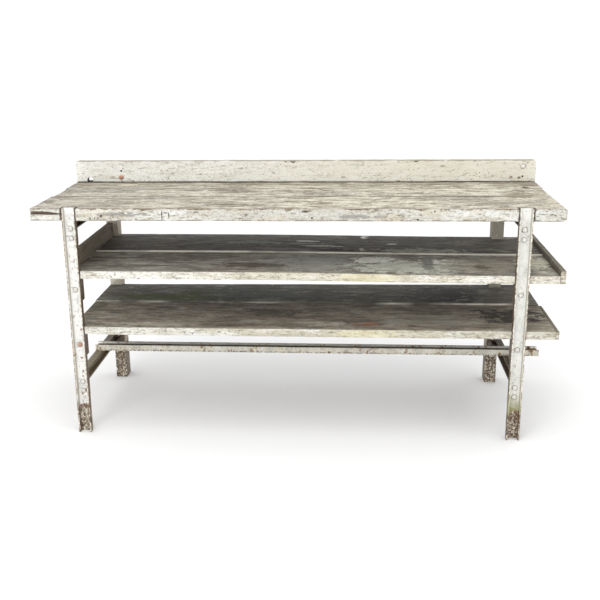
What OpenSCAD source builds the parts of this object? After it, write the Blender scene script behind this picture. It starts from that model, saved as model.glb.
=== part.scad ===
// Potting bench: a plank worktop and two board shelves carried on a bolted frame of rolled steel channel.
// Millimetres, +X along the bench, the front faces -Y, +Z up, origin on the floor under the middle.

/* [Worktop] */
// Length of the front plank
top_length = 1996; // [1700:1:2400]
// Depth of the whole worktop, front to back
top_depth = 680; // [600:1:850]
// Height of the working surface above the floor
top_height = 918; // [860:1:1100]
// Thickness of the planks
plank_thickness = 46; // [30:1:60]
// Width of the front plank
front_plank_width = 262; // [180:1:280]
// Width of the middle plank
middle_plank_width = 188; // [120:1:200]
// Open joint between two planks
plank_gap = 2; // [1:0.5:5]
// How much shorter the middle plank is at its left end
middle_short_left = 10; // [0:1:20]
// How much shorter the middle plank is at its right end
middle_short_right = 5; // [0:1:20]
// How much shorter the rear plank is at each end
rear_short = 0; // [0:1:20]

/* [Backboard] */
// Height of the board above the worktop
board_height = 93; // [80:1:160]
// Thickness of the board
board_thickness = 32; // [18:1:40]
// Worktop left uncovered behind the board
board_strip = 30; // [24:1:45]
// How far the board stops short of each end of the worktop
board_end_inset = 0; // [0:1:20]
// Width of the arched notch in the lower edge
notch_width = 26; // [16:1:40]
// Height of the notch at the top of its arch
notch_height = 23; // [18:1:45]
// Middle of the notch, from the left end of the board
notch_from_end = 60; // [30:1:90]
// Left bracket's middle, from the worktop's left end
left_bracket_at = 202; // [150:1:300]
// Right bracket's middle, from the worktop's right end
right_bracket_at = 55; // [40:1:100]
// Height of the left bolt above the worktop
left_bolt_rise = 22; // [20:1:40]
// Height of the right bolt above the worktop
right_bolt_rise = 66; // [50:1:75]
// Height of the left spare hole above the left bolt
left_spare_pitch = 28; // [24:1:36]
// Depth of the right spare hole below the right bolt
right_spare_pitch = 42; // [24:1:48]
// Diameter of the spare holes
spare_hole = 9; // [5:0.5:10]
// Height of the steel brackets behind the board
bracket_height = 84; // [78:1:100]
// Width of those brackets
bracket_width = 40; // [30:1:60]
// Thickness of the bracket steel
bracket_thickness = 4; // [3:0.5:6]

/* [Frame] */
// Width across the channel, over its web
channel_width = 50; // [45:1:70]
// Depth of the channel, over its flanges
channel_depth = 26; // [22:1:36]
// Thickness of the channel's web
web_thickness = 5; // [4:0.5:6]
// Thickness of the channel's flanges
flange_thickness = 6; // [4:0.5:7]
// Radius between web and flange
root_radius = 5; // [3:0.5:6]
// Radius on the inside edge of a flange
toe_radius = 2.5; // [1:0.5:3]
// Depth of the back legs' channel, front to back
back_leg_depth = 65; // [50:1:80]
// Front of the back legs, from the front edge of the worktop
back_leg_front = 614; // [520:1:615]
// Outer side of each leg, from the worktop's end
leg_inset = 120; // [90:1:160]
// Thickness of the plates welded on the rails' ends
end_plate = 6; // [5:0.5:8]
// Upper edge of the lower rails above the floor
lower_rail_top = 240; // [200:1:280]
// Upper bolt of a top rail, above that rail's lower edge
top_bolt_rise = 15; // [15:1:20]
// Upper bolt of a lower rail, above that rail's lower edge
lower_bolt_rise = 22; // [15:1:28]
// Distance between the two bolts of a rail end
rail_bolt_pitch = 38; // [34:1:46]
// Front of the stretcher, from the front edge of the worktop
stretcher_front = 308; // [240:1:400]
// Right end of the stretcher, short of the worktop's right end
stretcher_short = 1; // [0:1:60]

/* [Shelves] */
// Height of the upper shelf's front board
upper_shelf_height = 672; // [620:1:690]
// Height of the lower shelf's front board
lower_shelf_height = 446; // [400:1:470]
// Thickness of the front boards
front_board_thickness = 30; // [24:1:36]
// How far the rear boards stand above the front boards
rear_board_proud = 4; // [1:1:8]
// Front edge of the shelves, back from the worktop's front edge
shelf_setback = 8; // [2:1:14]
// Width of the upper shelf's front board
upper_front_width = 324; // [280:1:360]
// Back edge of the upper shelf, past the front of the back legs
upper_shelf_back = 46; // [20:1:60]
// Width of the lower shelf's front board
lower_front_width = 344; // [280:1:380]
// Back edge of the lower shelf at its left end, past the front of the back legs
lower_shelf_back = 10; // [6:1:60]
// The same back edge at the shelf's right end, where the old board is cut askew
lower_shelf_back_right = 48; // [6:1:60]
// Open joint between the two boards of a shelf
board_gap = 2; // [1:0.5:5]
// Right end of the shelf boards, short of the worktop's right end
shelf_short = 6; // [0:1:30]
// Clearance round a leg in the boards and the front plank
leg_clearance = 1.5; // [1:0.5:4]
// Length of the channel offcuts that carry the shelves
shelf_bracket_height = 92; // [80:1:110]
// Bolt of a shelf bracket, below the shelf
bracket_bolt_drop = 48; // [40:1:55]
// Height of the end board on the upper shelf
end_board_height = 62; // [40:1:90]
// Thickness of the end board
end_board_thickness = 22; // [16:1:24]
// Height of the batten on the upper shelf's right end
end_batten_height = 50; // [40:1:70]
// Thickness of that batten
end_batten_thickness = 20; // [14:1:26]
// Thickness of the strip on the lower shelf's right end
end_strip_thickness = 12; // [8:1:16]
// Width of the battens under the shelves
under_batten_width = 60; // [40:1:90]
// Thickness of those battens
under_batten_thickness = 18; // [14:1:22]
// Middle of those battens, from the inner side of the nearest leg
under_batten_at = 330; // [150:1:450]

/* [Fasteners] */
// Shank of the domed bolts
bolt_shank = 8; // [6:1:8]
// Diameter of the domed heads
bolt_head = 21; // [18:1:22]
// Height of the domed heads
bolt_dome = 6; // [4:0.5:8]
// Clearance of a bolt in its hole, on the diameter
bolt_clearance = 1; // [0.5:0.25:2]
// Width across the flats of the nuts
nut_flats = 13; // [12:1:14]
// Thickness of the nuts
nut_thickness = 6.5; // [5:0.5:8]
// Bolt thread left standing past its nut
bolt_proud = 3; // [1:0.5:5]
// Diameter of the wood screws
screw_shank = 5; // [4:0.5:6]
// Diameter of the screw and nail heads
screw_head = 10; // [8:0.5:12]
// Thickness of the screw and nail heads
screw_head_thickness = 2.5; // [1.5:0.5:3]
// Diameter of the nails
nail_shank = 3.5; // [3:0.5:5]

/* [Hidden] */
$fn = 48;

PAINT = "ivory";
STEEL = "peru";
TIMBER = "tan";
DIRTY = "dimgray";
over = 1;

// The bench is laid out with x from the worktop's left end and y from its front edge.
left_leg = leg_inset;
right_leg = top_length - leg_inset - channel_width;
middle_x = top_length / 2;
leg_middle = left_leg + channel_width / 2;
shelf_right = top_length - shelf_short;
end_overhang = end_batten_thickness - shelf_short;

top_under = top_height - plank_thickness;
leg_web_front = channel_depth - web_thickness;
frame_front = channel_depth;
frame_back = back_leg_front;
rail_front = frame_front + end_plate;
rail_back = frame_back - end_plate;

top_rail_bottom = top_under - channel_width;
lower_rail_bottom = lower_rail_top - channel_width;
rail_bottoms = [top_rail_bottom, lower_rail_bottom];
rail_rises = [top_bolt_rise, lower_bolt_rise];
rail_bolt_heights = [
  for (i = [0, 1]) for (drop = [0, rail_bolt_pitch]) rail_bottoms[i] + rail_rises[i] - drop
];
end_plate_margin = 20;
end_plate_side = 1;

rail_flange_middle = left_leg + (web_thickness + channel_depth) / 2;
front_joint = front_plank_width + plank_gap / 2;
middle_joint = front_plank_width + plank_gap + middle_plank_width + plank_gap / 2;
plank_middles = [
  front_plank_width / 2,
  (front_joint + middle_joint) / 2,
  (middle_joint + frame_back) / 2
];
bite_share = 0.75;
rail_screw_length = plank_thickness * bite_share + flange_thickness;

rear_board_thickness = front_board_thickness + rear_board_proud;
upper_under = upper_shelf_height - front_board_thickness;
lower_under = lower_shelf_height - front_board_thickness;
upper_joint = shelf_setback + upper_front_width;
lower_joint = shelf_setback + lower_front_width;
upper_back = frame_back + upper_shelf_back;
lower_back = frame_back + lower_shelf_back;
lower_back_right = frame_back + lower_shelf_back_right;
end_board_bottom = upper_under + rear_board_thickness;
end_board_side = left_leg + flange_thickness;
end_board_gap = 2;
packer_length = 40;
packer_reach = 6;
packer_from_joint = 110;
packer_at = upper_joint - packer_from_joint;
nail_edge = 60;
end_nail_ys = [frame_front + nail_edge, upper_joint - nail_edge, upper_joint + nail_edge,
  frame_back - nail_edge];
end_nail_bite = 34;
batten_nail_ys = [shelf_setback + nail_edge, upper_joint - nail_edge, upper_joint + nail_edge,
  upper_back - nail_edge];
strip_nails = 3;
strip_nail_pitch = lower_front_width / strip_nails;
strip_nail_ys = [for (i = [0 : strip_nails - 1]) shelf_setback + strip_nail_pitch * (i + 0.5)];
nail_bite = 36;

under_batten_xs = [
  left_leg + channel_width + under_batten_at,
  right_leg - under_batten_at
];
under_batten_clear_front = 84;
under_batten_clear_back = 54;
under_batten_front = frame_front + under_batten_clear_front;
under_batten_back = frame_back - under_batten_clear_back;
under_screw_bite = 20;
under_screw_edge = 55;

board_front = top_depth - board_strip - board_thickness;
board_back = board_front + board_thickness;
board_left = board_end_inset;
board_right = top_length - board_end_inset;
bracket_xs = [left_bracket_at, top_length - right_bracket_at];
board_bolt_heights = [top_height + left_bolt_rise, top_height + right_bolt_rise];
spare_hole_heights = [
  top_height + left_bolt_rise + left_spare_pitch,
  top_height + right_bolt_rise - right_spare_pitch
];
bracket_foot_short = 2;
bracket_foot = board_strip - bracket_foot_short;
bracket_screw_edge = 10;
bracket_screw_spread = bracket_width / 2 - bracket_screw_edge;
bracket_screw_bite = 25;

stretcher_left = left_leg;
stretcher_right = top_length - stretcher_short;
stretcher_middle = stretcher_front + channel_width / 2;
stretcher_bolt_xs = [rail_flange_middle, top_length - rail_flange_middle];

// ---- Placing -------------------------------------------------------------

module in_frame() {
  translate([-(top_length + end_overhang) / 2, -top_depth / 2, 0]) children();
}

module other_side() {
  translate([2 * middle_x, 0, 0]) mirror([1, 0, 0]) children();
}

module both_sides() {
  children();
  other_side() children();
}

// ---- Rolled channel ------------------------------------------------------

// Channel section with its web along X at y = 0 and its flanges standing to y = depth.
module channel_section(width, depth) {
  inner = width - 2 * flange_thickness;
  difference() {
    square([width, depth]);
    translate([flange_thickness, web_thickness + root_radius]) square([inner, depth]);
    translate([flange_thickness + root_radius, web_thickness])
      square([inner - 2 * root_radius, depth]);
    for (x = [flange_thickness + root_radius, width - flange_thickness - root_radius])
      translate([x, web_thickness + root_radius]) circle(r = root_radius);
    toe_cut(flange_thickness, depth, -1);
    toe_cut(width - flange_thickness, depth, 1);
  }
}

// Rounds the inside edge of one flange, on the side given by the sign.
module toe_cut(x, depth, side) {
  translate([x + side * toe_radius, depth - toe_radius])
    difference() {
      translate([side < 0 ? 0 : -toe_radius, 0]) square([toe_radius, toe_radius]);
      circle(r = toe_radius);
    }
}

// Upright channel, web at the front of its own depth and flanges to +Y.
module channel_post(height, width, depth) {
  linear_extrude(height) channel_section(width, depth);
}

module hole_y(d, x, y, z, length) {
  translate([x, y, z]) rotate([-90, 0, 0]) cylinder(d = d, h = length);
}

// ---- Fasteners -----------------------------------------------------------

// Domed bolt along +Z: the underside of its head is at z = 0 and its shank goes up.
module domed_bolt(length) {
  cylinder(d = bolt_shank, h = length);
  dome_sphere = (bolt_head * bolt_head / 4 + bolt_dome * bolt_dome) / (2 * bolt_dome);
  intersection() {
    translate([0, 0, dome_sphere - bolt_dome]) sphere(r = dome_sphere);
    translate([0, 0, -bolt_dome]) cylinder(d = bolt_head, h = bolt_dome);
  }
}

module hex_nut() {
  difference() {
    cylinder(d = nut_flats / cos(30), h = nut_thickness, $fn = 6);
    translate([0, 0, -over]) cylinder(d = bolt_shank, h = nut_thickness + 2 * over);
  }
}

// Screw or nail along +Z: its flat head is below z = 0 and its shank goes up.
module straight_fixing(shank, length) {
  cylinder(d = shank, h = length);
  translate([0, 0, -screw_head_thickness]) cylinder(d = screw_head, h = screw_head_thickness);
}

// Puts a bolt on each place of a rail end or bracket: head outside, nut towards the middle.
module at_front(z) {
  translate([leg_middle, leg_web_front, z]) rotate([-90, 0, 0]) children();
}

module at_back(z) {
  translate([leg_middle, frame_back + flange_thickness, z]) rotate([90, 0, 0]) children();
}

module bolt_holes_y(heights, y, length) {
  for (z = heights) hole_y(bolt_shank + bolt_clearance, leg_middle, y, z, length);
}

bracket_bolt_heights = [upper_under - bracket_bolt_drop, lower_under - bracket_bolt_drop];
leg_bolt_heights = concat(rail_bolt_heights, bracket_bolt_heights);

// ---- Legs ----------------------------------------------------------------

module front_leg() {
  color(PAINT) difference() {
    translate([left_leg + channel_width, channel_depth, 0]) rotate([0, 0, 180])
      channel_post(top_height, channel_width, channel_depth);
    bolt_holes_y(leg_bolt_heights, leg_web_front - over, web_thickness + 2 * over);
  }
}

module back_leg() {
  color(PAINT) difference() {
    translate([left_leg + channel_width, frame_back, 0]) rotate([0, 0, 90])
      channel_post(top_under, back_leg_depth, channel_width);
    bolt_holes_y(leg_bolt_heights, frame_back - over, flange_thickness + 2 * over);
  }
}

// ---- Side rails ----------------------------------------------------------

// Channel on edge from front to back, web outside, with a plate welded on each end.
module side_rail(bottom, rise) {
  plate_bottom = bottom + rise - rail_bolt_pitch - end_plate_margin;
  translate([left_leg, rail_back, bottom]) rotate([90, 0, 0]) rotate([0, 0, 90])
    mirror([0, 1, 0]) channel_post(rail_back - rail_front, channel_width, channel_depth);
  for (y = [frame_front, rail_back]) difference() {
    translate([left_leg + end_plate_side, y, plate_bottom])
      cube([channel_width - 2 * end_plate_side, end_plate, bottom + channel_width - plate_bottom]);
    bolt_holes_y([bottom + rise, bottom + rise - rail_bolt_pitch], y - over, end_plate + 2 * over);
  }
}

module top_rail() {
  color(PAINT) difference() {
    side_rail(top_rail_bottom, top_bolt_rise);
    for (y = plank_middles) translate([rail_flange_middle, y, top_under - flange_thickness - over])
      cylinder(d = screw_shank + bolt_clearance, h = flange_thickness + 2 * over);
  }
}

module lower_rail() {
  color(PAINT) difference() {
    side_rail(lower_rail_bottom, lower_bolt_rise);
    translate([rail_flange_middle, stretcher_middle, lower_rail_top - flange_thickness - over])
      cylinder(d = bolt_shank + bolt_clearance, h = flange_thickness + 2 * over);
  }
}

rail_bolt_length = end_plate + nut_thickness + bolt_proud;

module rail_bolts() {
  color(STEEL) both_sides() for (z = rail_bolt_heights) {
    at_front(z) domed_bolt(web_thickness + rail_bolt_length);
    at_back(z) domed_bolt(flange_thickness + rail_bolt_length);
  }
}

module rail_nuts() {
  color(STEEL) both_sides() for (z = rail_bolt_heights) {
    at_front(z) translate([0, 0, web_thickness + end_plate]) hex_nut();
    at_back(z) translate([0, 0, flange_thickness + end_plate]) hex_nut();
  }
}

// ---- Stretcher -----------------------------------------------------------

// Channel lying on the lower rails with its flanges up.
module stretcher() {
  color(PAINT) difference() {
    translate([stretcher_left, stretcher_front, lower_rail_top]) rotate([90, 0, 90])
      channel_post(stretcher_right - stretcher_left, channel_width, channel_depth);
    for (x = stretcher_bolt_xs) translate([x, stretcher_middle, lower_rail_top - over])
      cylinder(d = bolt_shank + bolt_clearance, h = web_thickness + 2 * over);
  }
}

module on_stretcher_bolt() {
  for (x = stretcher_bolt_xs)
    translate([x, stretcher_middle, lower_rail_top + web_thickness]) rotate([180, 0, 0]) children();
}

module stretcher_bolts() {
  color(STEEL) on_stretcher_bolt()
    domed_bolt(web_thickness + flange_thickness + nut_thickness + bolt_proud);
}

module stretcher_nuts() {
  color(STEEL) on_stretcher_bolt()
    translate([0, 0, web_thickness + flange_thickness]) hex_nut();
}

// ---- Shelf brackets ------------------------------------------------------

// Upright channel offcut, back to back with the front leg's web.
module front_bracket(shelf_under) {
  color(PAINT) difference() {
    translate([left_leg, frame_front, shelf_under - shelf_bracket_height])
      channel_post(shelf_bracket_height, channel_width, channel_depth);
    bolt_holes_y([shelf_under - bracket_bolt_drop], frame_front - over, web_thickness + 2 * over);
  }
}

module back_bracket(shelf_under) {
  color(PAINT) difference() {
    translate([left_leg + channel_width, frame_back, shelf_under - shelf_bracket_height])
      rotate([0, 0, 180]) channel_post(shelf_bracket_height, channel_width, channel_depth);
    bolt_holes_y([shelf_under - bracket_bolt_drop], frame_back - web_thickness - over,
      web_thickness + 2 * over);
  }
}

bracket_bolt_length = web_thickness + nut_thickness + bolt_proud;

module bracket_bolts() {
  color(STEEL) both_sides() for (z = bracket_bolt_heights) {
    at_front(z) domed_bolt(web_thickness + bracket_bolt_length);
    at_back(z) domed_bolt(flange_thickness + bracket_bolt_length);
  }
}

module bracket_nuts() {
  color(STEEL) both_sides() for (z = bracket_bolt_heights) {
    at_front(z) translate([0, 0, 2 * web_thickness]) hex_nut();
    at_back(z) translate([0, 0, flange_thickness + web_thickness]) hex_nut();
  }
}

// ---- Worktop -------------------------------------------------------------

// Space that a front leg takes, with its clearance.
module front_leg_room() {
  both_sides() translate([left_leg - leg_clearance, -over, 0])
    cube([channel_width + 2 * leg_clearance, channel_depth + leg_clearance + over, top_height + over]);
}

module back_leg_room() {
  both_sides() translate([left_leg - leg_clearance, frame_back - leg_clearance, 0])
    cube([channel_width + 2 * leg_clearance, back_leg_depth + 2 * leg_clearance, top_under]);
}

module plank(left, right, front, back) {
  translate([left, front, top_under]) cube([right - left, back - front, plank_thickness]);
}

module on_rail_screw() {
  both_sides() for (y = plank_middles)
    translate([rail_flange_middle, y, top_under - flange_thickness]) children();
}

module rail_screw_holes() {
  on_rail_screw() cylinder(d = screw_shank, h = rail_screw_length);
}

module worktop_screws() {
  color(STEEL) on_rail_screw() straight_fixing(screw_shank, rail_screw_length);
}

module worktop_front_plank() {
  color(TIMBER) difference() {
    plank(0, top_length, 0, front_plank_width);
    front_leg_room();
    rail_screw_holes();
  }
}

module worktop_middle_plank() {
  color(TIMBER) difference() {
    plank(middle_short_left, top_length - middle_short_right,
      front_plank_width + plank_gap, front_plank_width + plank_gap + middle_plank_width);
    rail_screw_holes();
  }
}

module worktop_rear_plank() {
  color(TIMBER) difference() {
    plank(rear_short, top_length - rear_short,
      front_plank_width + 2 * plank_gap + middle_plank_width, top_depth);
    rail_screw_holes();
    bracket_screw_holes();
  }
}

// ---- Backboard -----------------------------------------------------------

module backboard() {
  arch = notch_width / 2;
  color(PAINT) difference() {
    translate([board_left, board_front, top_height])
      cube([board_right - board_left, board_thickness, board_height]);
    hole_y(notch_width, board_left + notch_from_end, board_front - over,
      top_height + notch_height - arch, board_thickness + 2 * over);
    translate([board_left + notch_from_end - arch, board_front - over, top_height - over])
      cube([notch_width, board_thickness + 2 * over, notch_height - arch + over]);
    board_holes();
  }
}

module board_holes() {
  length = board_thickness + bracket_thickness + 2 * over;
  for (i = [0, 1]) {
    hole_y(bolt_shank + bolt_clearance, bracket_xs[i], board_front - over, board_bolt_heights[i], length);
    hole_y(spare_hole, bracket_xs[i], board_front - over, spare_hole_heights[i], length);
  }
}

// Steel angle standing on the worktop behind the board.
module backboard_bracket(i) {
  color(PAINT) difference() {
    translate([bracket_xs[i] - bracket_width / 2, board_back, top_height]) {
      cube([bracket_width, bracket_thickness, bracket_height]);
      cube([bracket_width, bracket_foot, bracket_thickness]);
    }
    board_holes();
    on_bracket_screw() translate([0, 0, -over])
      cylinder(d = screw_shank + bolt_clearance, h = bracket_thickness + 2 * over);
  }
}

module on_bracket_screw() {
  for (x = bracket_xs) for (side = [-1, 1])
    translate([x + side * bracket_screw_spread,
      board_back + (bracket_thickness + bracket_foot) / 2, top_height + bracket_thickness])
      rotate([180, 0, 0]) children();
}

module bracket_screw_holes() {
  on_bracket_screw() cylinder(d = screw_shank, h = bracket_thickness + bracket_screw_bite);
}

module backboard_bracket_screws() {
  color(STEEL) on_bracket_screw()
    straight_fixing(screw_shank, bracket_thickness + bracket_screw_bite);
}

module on_board_bolt() {
  for (i = [0, 1])
    translate([bracket_xs[i], board_front, board_bolt_heights[i]]) rotate([-90, 0, 0]) children();
}

module backboard_bolts() {
  color(STEEL) on_board_bolt()
    domed_bolt(board_thickness + bracket_thickness + nut_thickness + bolt_proud);
}

module backboard_nuts() {
  color(STEEL) on_board_bolt()
    translate([0, 0, board_thickness + bracket_thickness]) hex_nut();
}

// ---- Shelf boards --------------------------------------------------------

module shelf_board(right, front, back, bottom, thickness) {
  translate([left_leg, front, bottom]) cube([right - left_leg, back - front, thickness]);
}

module on_batten_screw(under) {
  joint = under == upper_under ? upper_joint : lower_joint;
  for (x = under_batten_xs)
    for (y = [under_batten_front + under_screw_edge, joint - under_screw_edge,
              joint + under_screw_edge, under_batten_back - under_screw_edge])
      translate([x, y, under - under_batten_thickness]) children();
}

module batten_screw_holes(under) {
  on_batten_screw(under)
    cylinder(d = screw_shank, h = under_batten_thickness + under_screw_bite);
}

module batten_screws(under) {
  color(STEEL) on_batten_screw(under)
    straight_fixing(screw_shank, under_batten_thickness + under_screw_bite);
}

module under_batten(under, i) {
  color(DIRTY) difference() {
    translate([under_batten_xs[i] - under_batten_width / 2, under_batten_front,
      under - under_batten_thickness])
      cube([under_batten_width, under_batten_back - under_batten_front, under_batten_thickness]);
    batten_screw_holes(under);
  }
}

module upper_shelf_front_board() {
  color(DIRTY) difference() {
    shelf_board(shelf_right, shelf_setback, upper_joint, upper_under, front_board_thickness);
    front_leg_room();
    batten_screw_holes(upper_under);
    end_board_nail_holes();
    end_batten_nail_holes();
  }
}

module upper_shelf_rear_board() {
  color(DIRTY) difference() {
    shelf_board(shelf_right, upper_joint + board_gap, upper_back, upper_under, rear_board_thickness);
    back_leg_room();
    batten_screw_holes(upper_under);
    end_board_nail_holes();
    end_batten_nail_holes();
  }
}

module lower_shelf_front_board() {
  color(DIRTY) difference() {
    shelf_board(shelf_right, shelf_setback, lower_joint, lower_under, front_board_thickness);
    front_leg_room();
    batten_screw_holes(lower_under);
    end_strip_nail_holes();
  }
}

// The rear board's back edge runs askew, from one depth at the left to another at the right.
module lower_rear_plank() {
  front = lower_joint + board_gap;
  translate([0, 0, lower_under]) linear_extrude(rear_board_thickness)
    polygon([[left_leg, front], [shelf_right, front],
      [shelf_right, lower_back_right], [left_leg, lower_back]]);
}

module lower_shelf_rear_board() {
  color(DIRTY) difference() {
    lower_rear_plank();
    back_leg_room();
    batten_screw_holes(lower_under);
  }
}

// ---- End board, batten and strip -----------------------------------------

module on_end_board_nail() {
  for (y = end_nail_ys)
    translate([end_board_side + end_board_thickness / 2, y, upper_under]) children();
}

module end_board_nail_holes() {
  on_end_board_nail() {
    cylinder(d = nail_shank, h = rear_board_thickness + end_nail_bite);
    cylinder(d = screw_head, h = screw_head_thickness);
  }
}

module end_board_nails() {
  color(STEEL) on_end_board_nail() {
    cylinder(d = nail_shank, h = rear_board_thickness + end_nail_bite);
    cylinder(d = screw_head, h = screw_head_thickness);
  }
}

module upper_shelf_end_board() {
  color(DIRTY) difference() {
    translate([end_board_side, frame_front + end_board_gap, end_board_bottom])
      cube([end_board_thickness, frame_back - frame_front - 2 * end_board_gap, end_board_height]);
    end_board_nail_holes();
  }
}

module end_board_packer() {
  color(TIMBER)
    translate([end_board_side, packer_at, upper_shelf_height])
      cube([end_board_thickness + packer_reach, packer_length, rear_board_proud]);
}

module on_end_batten_nail() {
  for (y = batten_nail_ys)
    translate([shelf_right + end_batten_thickness, y, upper_under + front_board_thickness / 2])
      rotate([0, -90, 0]) children();
}

module end_batten_nail_holes() {
  on_end_batten_nail() cylinder(d = nail_shank, h = end_batten_thickness + nail_bite);
}

module end_batten_nails() {
  color(STEEL) on_end_batten_nail() {
    cylinder(d = nail_shank, h = end_batten_thickness + nail_bite);
    cylinder(d = screw_head, h = screw_head_thickness);
  }
}

module upper_shelf_end_batten() {
  color(PAINT) difference() {
    translate([shelf_right, shelf_setback, upper_under])
      cube([end_batten_thickness, upper_back - shelf_setback, end_batten_height]);
    end_batten_nail_holes();
    on_end_batten_nail() cylinder(d = screw_head, h = screw_head_thickness);
  }
}

module on_end_strip_nail() {
  for (y = strip_nail_ys)
    translate([shelf_right + end_strip_thickness, y, lower_under + front_board_thickness / 2])
      rotate([0, -90, 0]) children();
}

module end_strip_nail_holes() {
  on_end_strip_nail() cylinder(d = nail_shank, h = end_strip_thickness + nail_bite);
}

module end_strip_nails() {
  color(STEEL) on_end_strip_nail() {
    cylinder(d = nail_shank, h = end_strip_thickness + nail_bite);
    cylinder(d = screw_head, h = screw_head_thickness);
  }
}

module lower_shelf_end_strip() {
  color(PAINT) difference() {
    translate([shelf_right, shelf_setback, lower_under])
      cube([end_strip_thickness, lower_front_width, front_board_thickness]);
    end_strip_nail_holes();
    on_end_strip_nail() cylinder(d = screw_head, h = screw_head_thickness);
  }
}

// ---- Drawing -------------------------------------------------------------

in_frame() worktop_front_plank();
in_frame() worktop_middle_plank();
in_frame() worktop_rear_plank();
in_frame() worktop_screws();
in_frame() backboard();
in_frame() backboard_bracket(0);  // backboard_bracket_left
in_frame() backboard_bracket(1);  // backboard_bracket_right
in_frame() backboard_bolts();
in_frame() backboard_nuts();
in_frame() backboard_bracket_screws();
in_frame() front_leg();  // front_leg_left
in_frame() other_side() front_leg();  // front_leg_right
in_frame() back_leg();  // back_leg_left
in_frame() other_side() back_leg();  // back_leg_right
in_frame() top_rail();  // top_rail_left
in_frame() other_side() top_rail();  // top_rail_right
in_frame() lower_rail();  // lower_rail_left
in_frame() other_side() lower_rail();  // lower_rail_right
in_frame() rail_bolts();
in_frame() rail_nuts();
in_frame() stretcher();
in_frame() stretcher_bolts();
in_frame() stretcher_nuts();
in_frame() front_bracket(upper_under);  // upper_bracket_front_left
in_frame() other_side() front_bracket(upper_under);  // upper_bracket_front_right
in_frame() back_bracket(upper_under);  // upper_bracket_back_left
in_frame() other_side() back_bracket(upper_under);  // upper_bracket_back_right
in_frame() front_bracket(lower_under);  // lower_bracket_front_left
in_frame() other_side() front_bracket(lower_under);  // lower_bracket_front_right
in_frame() back_bracket(lower_under);  // lower_bracket_back_left
in_frame() other_side() back_bracket(lower_under);  // lower_bracket_back_right
in_frame() bracket_bolts();
in_frame() bracket_nuts();
in_frame() upper_shelf_front_board();
in_frame() upper_shelf_rear_board();
in_frame() under_batten(upper_under, 0);  // upper_shelf_batten_left
in_frame() under_batten(upper_under, 1);  // upper_shelf_batten_right
in_frame() batten_screws(upper_under);  // upper_batten_screws
in_frame() upper_shelf_end_board();
in_frame() end_board_packer();
in_frame() end_board_nails();
in_frame() upper_shelf_end_batten();
in_frame() end_batten_nails();
in_frame() lower_shelf_front_board();
in_frame() lower_shelf_rear_board();
in_frame() under_batten(lower_under, 0);  // lower_shelf_batten_left
in_frame() under_batten(lower_under, 1);  // lower_shelf_batten_right
in_frame() batten_screws(lower_under);  // lower_batten_screws
in_frame() lower_shelf_end_strip();
in_frame() end_strip_nails();
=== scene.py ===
import math
import random

import bpy
from mathutils import Matrix, Vector


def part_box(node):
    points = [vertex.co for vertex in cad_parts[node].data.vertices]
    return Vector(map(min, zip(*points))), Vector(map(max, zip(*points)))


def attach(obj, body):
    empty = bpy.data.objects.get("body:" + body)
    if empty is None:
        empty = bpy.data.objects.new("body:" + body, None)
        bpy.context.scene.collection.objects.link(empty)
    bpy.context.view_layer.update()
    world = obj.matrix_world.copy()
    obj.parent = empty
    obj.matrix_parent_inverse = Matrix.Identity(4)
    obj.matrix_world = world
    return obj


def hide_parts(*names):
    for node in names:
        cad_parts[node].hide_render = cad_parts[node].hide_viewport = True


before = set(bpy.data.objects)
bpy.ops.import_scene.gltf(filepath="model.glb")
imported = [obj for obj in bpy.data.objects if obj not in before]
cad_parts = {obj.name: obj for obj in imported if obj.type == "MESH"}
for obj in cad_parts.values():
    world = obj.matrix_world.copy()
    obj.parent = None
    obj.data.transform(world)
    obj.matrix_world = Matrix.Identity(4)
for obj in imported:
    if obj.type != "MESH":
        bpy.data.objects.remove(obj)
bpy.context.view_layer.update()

# Old potting bench: three weathered planks on a bolted frame of painted channel,
# with a backboard and two dirty board shelves.  Metres, X along the bench, Z up.

MM = 0.001
FRONT_LEGS, BACK_LEGS = ("front_leg_left", "front_leg_right"), ("back_leg_left", "back_leg_right")

# the upper shelf's right end hangs this much lower, and starts to sink between these places in X
SHELF_DROP = 8 * MM
SINKS_FROM = (-0.3, 0.85)
# how much further in the lower rear board's back edge is at its left end
ASKEW = 38 * MM


# ---- Hand tools ------------------------------------------------------------

def put_down():
    """Leaves edit mode and lets go of everything."""
    held = bpy.context.view_layer.objects.active
    if held is not None and held.mode != "OBJECT":
        bpy.ops.object.mode_set(mode="OBJECT")
    bpy.ops.object.select_all(action="DESELECT")


def pick_up(piece):
    put_down()
    piece.select_set(True)
    bpy.context.view_layer.objects.active = piece


def name_piece(piece, name):
    piece.name = name
    piece.data.name = name
    return piece


def settle():
    """Moves the held piece's place and size into its mesh."""
    bpy.ops.object.transform_apply(location=True, rotation=True, scale=True)


def block(name, low, high):
    """A sawn block between two corners."""
    put_down()
    low, high = Vector(low), Vector(high)
    bpy.ops.mesh.primitive_cube_add(size=1, location=(low + high) / 2)
    piece = bpy.context.object
    piece.scale = high - low
    settle()
    return name_piece(piece, name)


def lens(middle, reach, turn=(0, 0, 0), rings=8, sides=10):
    """A lens-shaped cutter, for cracks, chips and dents, turned by degrees about X, Y and Z."""
    put_down()
    bpy.ops.mesh.primitive_uv_sphere_add(segments=sides, ring_count=rings, radius=1, location=middle,
                                         rotation=[math.radians(angle) for angle in turn], scale=reach)
    settle()
    return bpy.context.object


def rod(x, y, z, radius, depth, sides):
    """A round cutter lying from front to back."""
    put_down()
    bpy.ops.mesh.primitive_cylinder_add(vertices=sides, radius=radius, depth=depth,
                                        rotation=(math.radians(90), 0, 0), location=(x, y, z))
    settle()
    return bpy.context.object


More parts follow.
